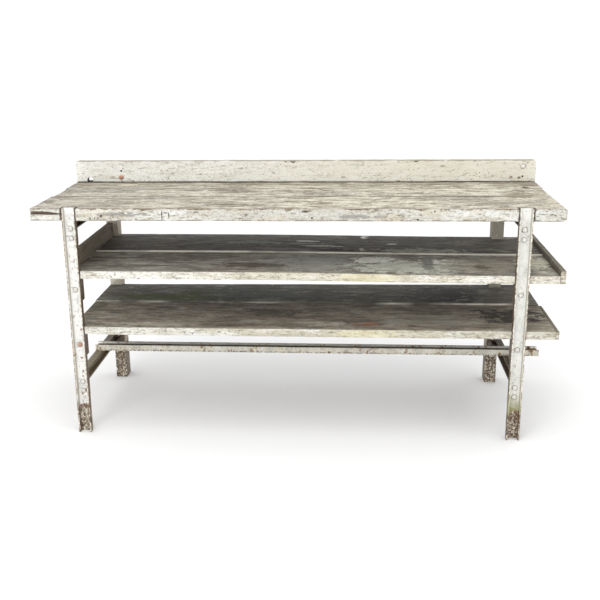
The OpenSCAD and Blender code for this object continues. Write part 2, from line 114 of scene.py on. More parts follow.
def mark(piece, kind, test):
    """Selects the vertices, edges or faces that pass the test."""
    pick_up(piece)
    mesh = piece.data
    for part in (mesh.vertices, mesh.edges, mesh.polygons):
        part.foreach_set("select", [False] * len(part))
    spots = [v.co for v in mesh.vertices]
    if kind == "VERT":
        for v in mesh.vertices:
            v.select = test(v.co)
    elif kind == "EDGE":
        for e in mesh.edges:
            e.select = test(spots[e.vertices[0]], spots[e.vertices[1]])
    else:
        for f in mesh.polygons:
            f.select = test(f.center, f.normal)
    bpy.ops.object.mode_set(mode="EDIT")
    bpy.ops.mesh.select_mode(type=kind)


def cells_along(piece, axis, cells):
    """Cuts a block into equal cells along one axis."""
    def runs_along(a, b):
        span = b - a
        return abs(span[axis]) > 0.98 * span.length
    mark(piece, "EDGE", runs_along)
    bpy.ops.mesh.subdivide(number_cuts=cells - 1)
    bpy.ops.object.mode_set(mode="OBJECT")


def slice_every(piece, axis, low, high, step):
    """Slices a piece across one axis at even steps."""
    pick_up(piece)
    bpy.ops.object.mode_set(mode="EDIT")
    count = max(1, round((high - low) / step))
    for i in range(1, count):
        bpy.ops.mesh.select_all(action="SELECT")
        point, along = [0, 0, 0], [0, 0, 0]
        point[axis] = low + (high - low) * i / count
        along[axis] = 1
        bpy.ops.mesh.bisect(plane_co=point, plane_no=along)
    bpy.ops.object.mode_set(mode="OBJECT")


def apply_last(piece, modifier):
    pick_up(piece)
    bpy.ops.object.modifier_apply(modifier=modifier.name)


def weather(piece, strength, size, direction="NORMAL", group="", start=(0, 0, 0), middle=0.5):
    """Wears the surface by a grain whose size is given along X, Y and Z."""
    grain = bpy.data.textures.new("grain", "CLOUDS")
    grain.noise_scale = 1.0
    grain.noise_depth = 2
    put_down()
    bpy.ops.object.empty_add(location=start)
    pattern = bpy.context.object
    pattern.scale = size
    bpy.context.view_layer.update()
    wear = piece.modifiers.new("wear", "DISPLACE")
    wear.texture = grain
    wear.texture_coords = "OBJECT"
    wear.texture_coords_object = pattern
    wear.direction = direction
    wear.strength = strength
    wear.mid_level = middle
    wear.vertex_group = group
    apply_last(piece, wear)
    bpy.data.objects.remove(pattern)
    bpy.data.textures.remove(grain)


def group_by(piece, name, weight):
    """Marks how strongly a wear acts, by place."""
    group = piece.vertex_groups.new(name=name)
    for v in piece.data.vertices:
        amount = weight(v.co)
        if amount > 0:
            group.add([v.index], min(1.0, amount), "REPLACE")
    return name


def join_up(pieces):
    pick_up(pieces[0])
    for piece in pieces[1:]:
        piece.select_set(True)
    if len(pieces) > 1:
        bpy.ops.object.join()
    return bpy.context.object


def carve(piece, *cutters):
    """Cuts the cutters' shapes out of a piece.  Cutters in one call don't touch each other."""
    tool = join_up(cutters)
    cut = piece.modifiers.new("cut", "BOOLEAN")
    cut.operation = "DIFFERENCE"
    cut.solver = "EXACT"
    cut.object = tool
    apply_last(piece, cut)
    bpy.data.objects.remove(tool)


def round_corner(piece, x, z, side_x, side_z, radius):
    """Rounds a corner seen from the front; the sides say which way the corner points."""
    out = 0.03
    near_x, far_x = x - side_x * radius, x + side_x * out
    near_z, far_z = z - side_z * radius, z + side_z * out
    corner = block("corner", (min(near_x, far_x), -0.5, min(near_z, far_z)),
                   (max(near_x, far_x), 0.5, max(near_z, far_z)))
    carve(corner, rod(near_x, 0, near_z, radius, 2, 48))
    carve(piece, corner)


def smooth(piece, angle=35):
    pick_up(piece)
    bpy.ops.object.shade_smooth_by_angle(angle=math.radians(angle))


def sunk_share(place):
    """1 where the upper shelf has sunk, with the bolts and brackets at that end, and 0 away from it."""
    def ramp(value, low, high):
        t = min(1.0, max(0.0, (value - low) / (high - low)))
        return t * t * (3 - 2 * t)
    return ramp(place.x, *SINKS_FROM) * ramp(place.z, 0.53, 0.585) * ramp(place.z, 0.79, 0.735)


def sink(piece):
    """Lets the upper shelf hang lower at its right end."""
    group = group_by(piece, "sunk", sunk_share)
    drop = piece.modifiers.new("drop", "DISPLACE")
    drop.direction = "Z"
    drop.mid_level = 0
    drop.strength = -SHELF_DROP
    drop.vertex_group = group
    apply_last(piece, drop)


def fit(piece, node, finish):
    """Puts a finished piece on the bench in place of its plain solid."""
    sink(piece)
    piece.data.materials.clear()
    piece.data.materials.append(finish)
    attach(piece, "root")
    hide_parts(node)


def tidy_copy(node, name):
    """A merged copy of a plain steel part, ready to be worn."""
    put_down()
    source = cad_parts[node]
    piece = source.copy()
    piece.data = source.data.copy()
    bpy.context.scene.collection.objects.link(piece)
    name_piece(piece, name)
    pick_up(piece)
    bpy.ops.object.mode_set(mode="EDIT")
    bpy.ops.mesh.select_all(action="SELECT")
    bpy.ops.mesh.remove_doubles(threshold=0.00001)
    bpy.ops.object.mode_set(mode="OBJECT")
    return piece


# ---- Finishes --------------------------------------------------------------

PAINT_SHARE = 0.76


def tint(colour):
    """Turns a colour given as it looks in the studio's light, 0 to 255, to what the surface returns.
    Anything else, such as a layer or a colour of four numbers, stays as it is."""
    def channel(c):
        c = c / 255
        return PAINT_SHARE * (c / 12.92 if c <= 0.04045 else ((c + 0.055) / 1.055) ** 2.4)
    if isinstance(colour, tuple) and len(colour) == 3:
        return (*map(channel, colour), 1.0)
    return colour


def reckoning(operation):
    return lambda self, other=0.0: self.reckon(operation, self, other)


class Amount:
    """How much of something there is at each point.  Amounts are reckoned with like numbers."""

    def __init__(self, finish, socket):
        self.finish, self.socket = finish, socket

    def reckon(self, operation, a, b, clamp=False):
        made = self.finish.node("ShaderNodeMath", {"operation": operation, "use_clamp": clamp}, _0=a, _1=b)
        return Amount(self.finish, made.outputs[0])

    __add__, __sub__ = reckoning("ADD"), reckoning("SUBTRACT")
    __mul__, __truediv__ = reckoning("MULTIPLY"), reckoning("DIVIDE")
    __abs__ = reckoning("ABSOLUTE")
    # a | b is whichever is more
    __or__ = reckoning("MAXIMUM")

    def __rsub__(self, other):
        return self.reckon("SUBTRACT", other, self)

    def less(self, other):
        """What is left where the other isn't."""
        return self * self.reckon("SUBTRACT", 1.0, other, True)

    def span(self, low, high, start=0.0, end=1.0):
        """Takes low to high onto start to end, and stops there."""
        return self.finish.ramp(self, low, high, start, end, {"clamp": True})

    def ragged(self, width):
        """The same amount with a torn edge of about this width."""
        return self + (self.finish.blur - 0.5) * width


class Layer(Amount):
    """The colour laid on so far."""

    def lay(self, over, amount):
        self.socket = self.finish.coat(self, over, amount).socket

    def vary(self, noise, share, low=0.35, high=0.65):
        self.socket = self.finish.vary(self, noise, share, low, high).socket


class Finish:
    """A surface finish laid on in coats."""

    def __init__(self, name, shift=(0, 0, 0)):
        self.material = bpy.data.materials.new(name)
        self.material.use_nodes = True
        self.tree = self.material.node_tree
        self.skin = self.tree.nodes["Principled BSDF"]
        self.shift = shift
        self.place = self.tree.nodes.new("ShaderNodeTexCoord").outputs["Object"]
        normal = self.tree.nodes.new("ShaderNodeNewGeometry").outputs["Normal"]
        self.x, self.y, self.z = self.split(self.place)
        self.facing_x, self.facing_y, self.facing_z = self.split(normal)

    def node(self, kind, settings=None, **inputs):
        made = self.tree.nodes.new(kind)
        for key, value in (settings or {}).items():
            setattr(made, key, value)
        for key, value in inputs.items():
            socket = made.inputs[int(key[1:])] if key[0] == "_" else made.inputs[key]
            value = getattr(value, "socket", value)
            if isinstance(value, bpy.types.NodeSocket):
                self.tree.links.new(value, socket)
            else:
                socket.default_value = value
        return made

    def split(self, vector):
        parts = self.node("ShaderNodeSeparateXYZ", Vector=vector)
        return [Amount(self, part) for part in parts.outputs]

    def spread(self, size):
        """The place, measured in grains of this size along X, Y and Z."""
        return self.node("ShaderNodeMapping", Vector=self.place, Location=self.shift,
                         Scale=[1 / s for s in size]).outputs[0]

    def grain(self, size, detail=4.0, rough=0.55, warp=0.0):
        """Noise whose grain measures size along X, Y and Z."""
        made = self.node("ShaderNodeTexNoise", Vector=self.spread(size), Scale=1.0, Detail=detail,
                         Roughness=rough, Distortion=warp)
        return Amount(self, made.outputs[0])

    def specks(self, size):
        made = self.node("ShaderNodeTexVoronoi", Vector=self.spread(size), Scale=1.0)
        return Amount(self, made.outputs["Distance"])

    def ramp(self, value, low, high, start, end, settings):
        made = self.node("ShaderNodeMapRange", settings, Value=value)
        for socket, number in zip(made.inputs[1:5], (low, high, start, end)):
            socket.default_value = number
        return Amount(self, made.outputs[0])

    def coat(self, under, over, amount):
        made = self.node("ShaderNodeMix", {"data_type": "RGBA"}, _0=amount, _6=tint(under), _7=tint(over))
        return Layer(self, made.outputs[2])

    def vary(self, under, noise, share, low=0.35, high=0.65):
        """Makes a coat lighter and darker by a share, as the noise goes."""
        under = tint(under)
        if isinstance(under, tuple):
            under = under[:3]
        made = self.node("ShaderNodeVectorMath", {"operation": "SCALE"}, _0=under,
                         Scale=noise.span(low, high, 1 - share, 1 + share))
        return Layer(self, made.outputs[0])

    def tones(self, value, *stops):
        made = self.node("ShaderNodeValToRGB", Fac=value)
        ramp = made.color_ramp
        while len(ramp.elements) < len(stops):
            ramp.elements.new(0.5)
        for element, (spot, colour) in zip(ramp.elements, stops):
            element.position = spot
            element.color = tint(colour)
        return Layer(self, made.outputs[0])

    def undropped(self):
        """The height a point of the upper shelf had before its right end sank."""
        return self.z + self.ramp(self.x, *SINKS_FROM, 0.0, SHELF_DROP, {"interpolation_type": "SMOOTHSTEP"})

    def blot(self, x, y, reach_x, reach_y, ragged=0.6, across=None):
        """A soft-edged stain at one place, 0 to 1."""
        across = self.y if across is None else across
        dx = (self.x - x) / reach_x
        dy = (across - y) / reach_y
        edge = (self.blur - 0.5) * (ragged * 9)
        return (dx * dx + dy * dy + edge).span(0.7, 0.95, 1.0, 0.0)

    def gap_to(self, place, middle):
        gap = self.node("ShaderNodeVectorMath", {"operation": "DISTANCE"}, _0=place, _1=middle)
        return Amount(self, gap.outputs["Value"])

    def blot_at(self, middle, reach):
        return self.gap_to(self.place, middle).span(reach, reach * 0.7)

    def surface(self, colour, roughness, height, strength, distance):
        self.tree.links.new(colour.socket, self.skin.inputs["Base Color"])
        if isinstance(roughness, Amount):
            self.tree.links.new(roughness.socket, self.skin.inputs["Roughness"])
        else:
            self.skin.inputs["Roughness"].default_value = roughness
        bump = self.node("ShaderNodeBump", Height=height, Strength=strength, Distance=distance)
        self.tree.links.new(bump.outputs[0], self.skin.inputs["Normal"])
        return self.material


# how clean the paint of a front face has stayed
FRONT_CLEAN = 0.9
BARE_BROWN = (104, 84, 68)
RUST = (164, 124, 76)
DARK_RUST = (92, 64, 36)


def worn_paint(coat, base, wear, grime=0.5):
    """Old off-white paint with blotches, brush marks, specks and small chips."""
    blotch = coat.grain((0.1, 0.05, 0.024), 5, 0.62, 0.4)
    fine = coat.grain((0.016, 0.008, 0.01), 5, 0.72, 0.3)
    crumb = coat.grain((0.007, 0.006, 0.006), 3, 0.7)
    colour = coat.coat(base, (198, 189, 166), blotch.span(0.5, 0.66) * grime)
    colour.lay((252, 251, 246), blotch.span(0.46, 0.34) * 0.8)
    colour.lay((150, 142, 124), fine.span(0.575, 0.66) * (0.35 + 0.5 * grime))
    colour.vary(crumb, 0.1)
    crackle = coat.grain((0.018, 0.006, 0.009), 6, 0.7, 1.0)
    chips = crackle.span(0.655 - 0.09 * wear, 0.672 - 0.09 * wear) * blotch.span(0.43, 0.54)
    return colour, chips


def worktop_timber(name, low, high, shift, painted_front):
    """Bare plank bleached grey-beige, with dark grain lines and brown cracks."""
    coat = Finish(name, shift)
    coat.blur = coat.grain((0.05, 0.025, 0.014), 7, 0.72)
    broad = coat.grain((0.42, 0.15, 0.15), 4, 0.55, 0.4)
    streak = coat.grain((0.115, 0.034, 0.034), 7, 0.7, 0.35)
    thread = coat.grain((0.05, 0.011, 0.011), 6, 0.72, 0.3)
    line = coat.grain((0.21, 0.026, 0.026), 7, 0.66, 0.7)
    crumb = coat.grain((0.011, 0.009, 0.009), 4, 0.75)
    dash = coat.grain((0.032, 0.01, 0.009), 5, 0.68, 0.4)
    flake = coat.grain((0.04, 0.026, 0.02), 6, 0.7, 0.8)
    colour = coat.tones(streak, (0.36, (112, 101, 84)), (0.44, (166, 156, 137)), (0.5, (204, 196, 177)),
                        (0.56, (228, 221, 202)), (0.66, (246, 241, 225)))
    colour.lay((146, 141, 130), broad.span(0.5, 0.62) * 0.6)
    colour.lay((156, 152, 143), coat.x.span(0.0, -0.8) * 0.4)
    pale = coat.grain((0.085, 0.035, 0.035), 6, 0.7, 0.6).span(0.555, 0.6) * 0.8
    colour.lay((240, 234, 216), pale * coat.x.span(-0.9, 0.1, 0.25, 1.0))
    colour.lay((112, 100, 84), thread.span(0.57, 0.63) * 0.7)
    colour.lay((246, 242, 228), flake.span(0.585, 0.605) * 0.75)
    colour.lay((96, 82, 64), dash.span(0.6, 0.625) * 0.75)
    dark_line = line.span(0.6, 0.635) * broad.span(0.42, 0.52)
    colour.lay((84, 66, 48), dark_line * 0.9)
    colour.vary(crumb, 0.22)
    # dirt along the joints between the planks and in everything cut below the surface
    sunk = coat.z.span(high.z - 0.9 * MM, high.z - 3 * MM)
    side = coat.y.span(low.y + 7 * MM, low.y + 2 * MM) | coat.y.span(high.y - 7 * MM, high.y - 2 * MM)
    seam = side * coat.grain((0.16, 0.5, 0.5), 4, 0.6).span(0.46, 0.56, 0.25, 0.9)
    if painted_front:
        seam = seam * coat.y.span(low.y + 0.1, low.y + 0.12)
    colour.lay((96, 70, 50), seam)
    colour.lay((76, 58, 44), sunk * 0.85)
    rear = coat.y.span(0.13, 0.25) * coat.grain((0.16, 0.02, 0.02), 6, 0.7).span(0.47, 0.53, 0.1, 0.8)
    colour.lay((140, 128, 108), rear)
    # painted shade under and behind the backboard: the shadowed gap at its foot, and the dark that shows
    # through its notch
    behind = coat.y.ragged(16 * MM).span(0.262, 0.271)
    colour.lay((50, 40, 32), behind * 0.92)
    # painted shade round the front legs, in the gap between leg and plank
    leg_gap_shade = None
    for leg in FRONT_LEGS:
        a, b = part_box(leg)
        beside = abs(coat.x - ((a.x + b.x) / 2)) - ((b.x - a.x) / 2)
        reach = beside | coat.y - b.y
        reach = reach.ragged(14 * MM)
        close = reach.span(8 * MM, 5 * MM)
        leg_gap_shade = close if leg_gap_shade is None else leg_gap_shade | close
    colour.lay((66, 52, 40), leg_gap_shade * 0.85)
    for x, y, reach_x, reach_y, stain, amount in (
            (0.922, 0.133, 0.018, 0.03, (88, 78, 64), 0.9), (0.887, 0.049, 0.03, 0.02, (116, 92, 72), 0.8),
            (0.86, -0.06, 0.06, 0.05, (136, 124, 104), 0.7),
            (-0.757, 0.202, 0.04, 0.025, (232, 222, 200), 0.8),
            (-0.25, 0.03, 0.16, 0.02, (118, 110, 98), 0.6), (0.95, 0.22, 0.06, 0.06, (134, 124, 108), 0.7)):
        colour.lay(stain, coat.blot(x, y, reach_x, reach_y) * amount)
    under = coat.z.span(low.z + 6 * MM, low.z + 1 * MM)
    colour.lay((126, 116, 100), under * 0.8)
    rough = streak.span(0.3, 0.7, 0.92, 0.78)
    if painted_front:
        paint, chips = worn_paint(coat, (232, 231, 222), 0.8, 0.8)
        colder = coat.x.span(-0.45, -0.25) * coat.x.span(0.45, 0.3)
        paint.lay((198, 192, 180), colder * 0.45)
        nick = coat.grain((0.012, 0.01, 0.008), 5, 0.72, 0.4)
        paint.lay((88, 74, 56), nick.span(0.605, 0.625) * 0.75)
        paint.lay((254, 253, 248), nick.span(0.4, 0.37) * 0.8)
        grey = coat.blot(0.222, 0.89, 0.06, 0.009, 0.6, coat.z)
        grey = grey | coat.blot(0.32, 0.889, 0.035, 0.012, 0.8, coat.z)
        grey = grey | coat.blot(-0.66, 0.897, 0.1, 0.008, 0.9, coat.z)
        paint.lay((158, 155, 150), grey * 0.8)
        ochre = coat.grain((0.14, 0.05, 0.04), 4, 0.6).span(0.54, 0.6)
        paint.lay((222, 210, 182), ochre * 0.35)
        scab = coat.grain((0.026, 0.02, 0.008), 6, 0.72, 0.6)
        paint.lay((96, 80, 62), scab.span(0.61, 0.63) * 0.75)
        paint.lay((252, 251, 246), scab.span(0.4, 0.37) * 0.8)
        gap = (coat.grain((0.05, 0.01, 0.012), 5, 0.65) - 0.5) * (34 * MM)
        top_wear = coat.z + gap
        here = coat.grain((0.13, 0.5, 0.5), 5, 0.65).span(0.49, 0.54, 0.15, 0.85)
        worn_top = top_wear.span(high.z - 4.5 * MM, high.z - 3.5 * MM) * here
        paint.lay((120, 98, 74), worn_top)
        low_wear = top_wear.span(low.z + 4 * MM, low.z + 2 * MM) * 0.7
        paint.lay((110, 94, 76), low_wear)
        brown = coat.grain((0.05, 0.02, 0.007), 6, 0.7, 0.8).span(0.58, 0.605) * 0.75
        paint.lay((138, 126, 104), brown)
        edge = coat.y.ragged(3 * MM)
        on_front = edge.span(low.y + 2.4 * MM, low.y + 1.6 * MM).less(chips * 0.85)
        bare = coat.vary((122, 108, 88), coat.grain((0.02, 0.006, 0.006), 5, 0.7), 0.35)
        colour.lay(bare, coat.y.span(low.y + 10 * MM, low.y + 7 * MM))
        colour.lay(paint, on_front)
        # the painted shade round the front legs, laid again over the paint
        colour.lay((66, 52, 40), leg_gap_shade * 0.8)
        cracks = coat.blot(-0.955, 0.899, 0.085, 0.0045, 0.5, coat.z)
        for x, z, reach_x, reach_z in ((-0.5, 0.893, 0.0024, 0.019), (-0.487, 0.903, 0.01, 0.0022),
                                       (-0.474, 0.894, 0.002, 0.013), (-0.732, 0.89, 0.004, 0.005),
                                       (-0.775, 0.88, 0.003, 0.004), (-0.757, 0.881, 0.002, 0.004),
                                       (-0.742, 0.881, 0.002, 0.004), (0.063, 0.884, 0.004, 0.003),
                                       (0.513, 0.908, 0.004, 0.003), (0.452, 0.879, 0.006, 0.003),
                                       (-0.37, 0.906, 0.014, 0.0025), (0.037, 0.907, 0.016, 0.003)):
            cracks = cracks | coat.blot(x, z, reach_x, reach_z, 0.35, coat.z)
        on_face = coat.y.span(low.y + 6 * MM, low.y + 4 * MM)
        colour.lay((78, 58, 46), cracks * on_face * 0.85)
    ends = coat.x.span(low.x + 5 * MM, low.x + 1 * MM) | coat.x.span(high.x - 5 * MM, high.x - 1 * MM)
    colour.lay((182, 174, 158), ends * 0.6)
    height = streak * 1.2 + thread + line * -0.5
    return coat.surface(colour, rough, height, 0.8, 2.0 * MM)


def backboard_paint(low, high):
    coat = Finish("backboard_paint", (3, 5, 1))
    coat.blur = coat.grain((0.06, 0.03, 0.03), 4, 0.6)
    colour, chips = worn_paint(coat, (254, 253, 244), 0.25, 0.3)
    cream = coat.x.span(-0.4, 0.5)
    colour.lay((244, 239, 218), cream * 0.6)
    brush = coat.grain((0.1, 0.01, 0.007), 6, 0.74, 0.3)
    colour.lay((190, 184, 164), brush.span(0.55, 0.64) * 0.45)
    spot = coat.specks((0.015, 0.02, 0.011)).span(0.22, 0.12)
    spot = spot * coat.grain((0.12, 0.05, 0.03), 3).span(0.46, 0.56)
    scuff = coat.grain((0.05, 0.02, 0.012), 6, 0.72, 0.8)
    colour.lay((150, 141, 118), scuff.span(0.59, 0.61) * 0.65)
    colour.lay((255, 255, 250), scuff.span(0.41, 0.38) * 0.8)
    colour.lay((96, 84, 66), spot * 0.8)
    colour.lay((110, 92, 76), chips)
    top = coat.z.ragged(10 * MM)
    colour.lay((150, 138, 120), top.span(high.z - 3.2 * MM, high.z - 0.6 * MM, 0.0, 0.8))
    foot = top.span(low.z + 6 * MM, low.z + 1 * MM)
    colour.lay((122, 110, 92), foot * 0.6)
    behind = coat.y.span(low.y + 1.2 * MM, low.y + 2.4 * MM)
    inside = behind.less(coat.y.span(high.y - 3 * MM, high.y - 1 * MM))
    cut_face = inside.less(coat.z.span(high.z - 4 * MM, high.z - 2 * MM))
    ends = coat.x.span(low.x + 14 * MM, low.x + 10 * MM) | coat.x.span(high.x - 14 * MM, high.x - 10 * MM)
    colour.lay((56, 46, 34), (cut_face * 0.95).less(ends))
    for x, z, reach in ((0.888, 0.939, 0.01), (0.922, 0.937, 0.008), (-0.803, 0.94, 0.017),
                        (0.936, 0.984, 0.015)):
        colour.lay((150, 120, 84), coat.blot(x, z, reach, reach * 0.7, 0.5, coat.z) * 0.6)
    dots = coat.blot(0.888, 0.94, 0.005, 0.003, 0.3, coat.z)
    dots = dots | coat.blot(0.922, 0.937, 0.004, 0.003, 0.3, coat.z)
    colour.lay((80, 70, 56), dots * 0.8)
    colour.lay((146, 138, 120), coat.y.span(high.y - 2 * MM, high.y) * 0.55)
    height = brush * 0.8 + coat.blur - chips * 0.8
    return coat.surface(colour, 0.55, height, 0.5, 0.8 * MM)


def shelf_timber(name, low, high, shift, dark, light, blots, painted_front, patches, front_tone):
    """A board with a dark dirty top, pale scuffs and a painted front edge."""
    coat = Finish(name, shift)
    if name.startswith("upper"):
        coat.z = coat.undropped()
    coat.blur = coat.grain((0.05, 0.035, 0.014), 7, 0.74, 0.4)
    broad = coat.grain((0.3, 0.1, 0.1), 5, 0.6, 0.6)
    streak = coat.grain((0.11, 0.024, 0.024), 7, 0.7, 0.4)
    flake = coat.grain((0.13, 0.055, 0.055), 7, 0.66, 1.2)
    scuff = coat.grain((0.06, 0.018, 0.018), 7, 0.75, 0.9)
    crumb = coat.grain((0.012, 0.01, 0.01), 4, 0.75)
    colour = coat.coat(dark, light, broad.span(0.4, 0.62))
    colour.lay(light, flake.span(0.6 - 0.12 * patches, 0.63 - 0.12 * patches) * 0.55)
    torn = flake.span(0.555 - 0.06 * patches, 0.575 - 0.06 * patches) * broad.span(0.44, 0.54)
    colour.lay((196, 197, 186), torn * (0.15 + 0.55 * patches))
    colour.vary(streak, 0.46, 0.38, 0.62)
    colour.vary(crumb, 0.22)
    for x, y, reach_x, reach_y, stain, amount in blots:
        stained = coat.vary(stain, streak, 0.22, 0.36, 0.64)
        colour.lay(stained, coat.blot(x, y, reach_x, reach_y, 0.95) * amount)
    colour.lay((226, 222, 206), scuff.span(0.615, 0.635) * 0.6)
    colour.lay((34, 29, 24), scuff.span(0.39, 0.36) * 0.7)
    sunk = coat.z.span(high.z - 0.9 * MM, high.z - 2.5 * MM)
    colour.lay((40, 34, 28), sunk * 0.6)
    if painted_front:
        dusty = coat.y.ragged(90 * MM)
        colour.lay((196, 190, 174), dusty.span(low.y + 26 * MM, low.y, 0.0, 0.6))
        stained = coat.x.span(-0.3, -0.1) * coat.x.span(0.6, 0.5)
        front_base = coat.coat(front_tone, (208, 199, 174), stained * 0.45)
        front_base.lay((250, 249, 242), coat.x.span(-0.25, -0.5) * 0.6)
        paint, chips = worn_paint(coat, front_base, 0.9, 0.7)
        marks = coat.grain((0.03, 0.01, 0.006), 6, 0.7, 0.8)
        paint.lay((120, 103, 80), marks.span(0.57, 0.6) * 0.7)
        paint.lay((252, 250, 242), marks.span(0.41, 0.37) * 0.7)
        splinter = coat.grain((0.05, 0.02, 0.009), 6, 0.7, 0.6).span(0.57, 0.59) * coat.x.span(0.3, 0.7)
        paint.lay((146, 130, 104), splinter * 0.7)
        nick = coat.grain((0.013, 0.01, 0.007), 5, 0.72, 0.4)
        paint.lay((92, 78, 58), nick.span(0.61, 0.63) * 0.75)
        yellow = coat.blot(0.27, low.z + 15 * MM, 0.12, 0.03, 0.5, coat.z)
        paint.lay((240, 230, 180), yellow * 0.4)
        edge = coat.y.ragged(3 * MM)
        on_front = edge.span(low.y + 2.6 * MM, low.y + 1.5 * MM).less(chips * 0.85)
        colour.lay(paint, on_front)
    else:
        lip = coat.y.ragged(12 * MM)
        pale_lip = lip.span(low.y + 14 * MM, low.y + 9 * MM)
        broken = (0.4, 0.5, 0.55, 1.0) if name.startswith("upper") else (0.46, 0.58, 0.12, 0.85)
        pale_lip = pale_lip * coat.grain((0.25, 0.5, 0.5), 3).span(*broken)
        colour.lay((285, 279, 262), pale_lip)
    right_end = coat.x.span(high.x - 3 * MM, high.x - 1 * MM)
    colour.lay((150, 142, 124), right_end * 0.7)
    height = streak * 1.2 + scuff * -0.6
    rough = broad.span(0.35, 0.7, 0.72, 0.88)
    return coat.surface(colour, rough, height, 0.7, 1.5 * MM)


def grimy_timber(name, base, streaks, shift, size=(0.02, 0.3, 0.01)):
    """Unpainted dirty wood for the end board, packer and under battens."""
    coat = Finish(name, shift)
    streak = coat.grain(size, 6, 0.65, 0.3)
    broad = coat.grain((0.08, 0.12, 0.03), 4, 0.6)
    colour = coat.coat(base, streaks, streak.span(0.48, 0.72))
    colour.lay((0.0, 0.0, 0.0, 1.0), broad.span(0.5, 0.7) * 0.4)
    return coat.surface(colour, 0.85, streak, 0.6, 1.0 * MM)


def batten_paint(name, low, high, shift):
    coat = Finish(name, shift)
    if name.startswith("end_batten"):
        coat.z = coat.undropped()
    coat.blur = coat.grain((0.02, 0.05, 0.02), 4, 0.6)
    base, chips = worn_paint(coat, (206, 198, 176), 0.9, 0.8)
    streak = coat.grain((0.01, 0.14, 0.006), 6, 0.65, 0.3)
    colour = coat.coat(base, (132, 120, 98), streak.span(0.46, 0.64) * 0.8)
    colour.lay(BARE_BROWN, chips * 0.8)
    top = coat.z.span(high.z - 3 * MM, high.z - 0.5 * MM)
    colour.lay((96, 86, 70), top * 0.7)
    # painted shade on the faces that look in towards the middle of the bench
    inner = coat.facing_x.span(-0.3, -0.7)
    colour.lay((88, 80, 66), inner * 0.75)
    return coat.surface(colour, 0.75, streak + coat.blur, 0.5, 0.9 * MM)


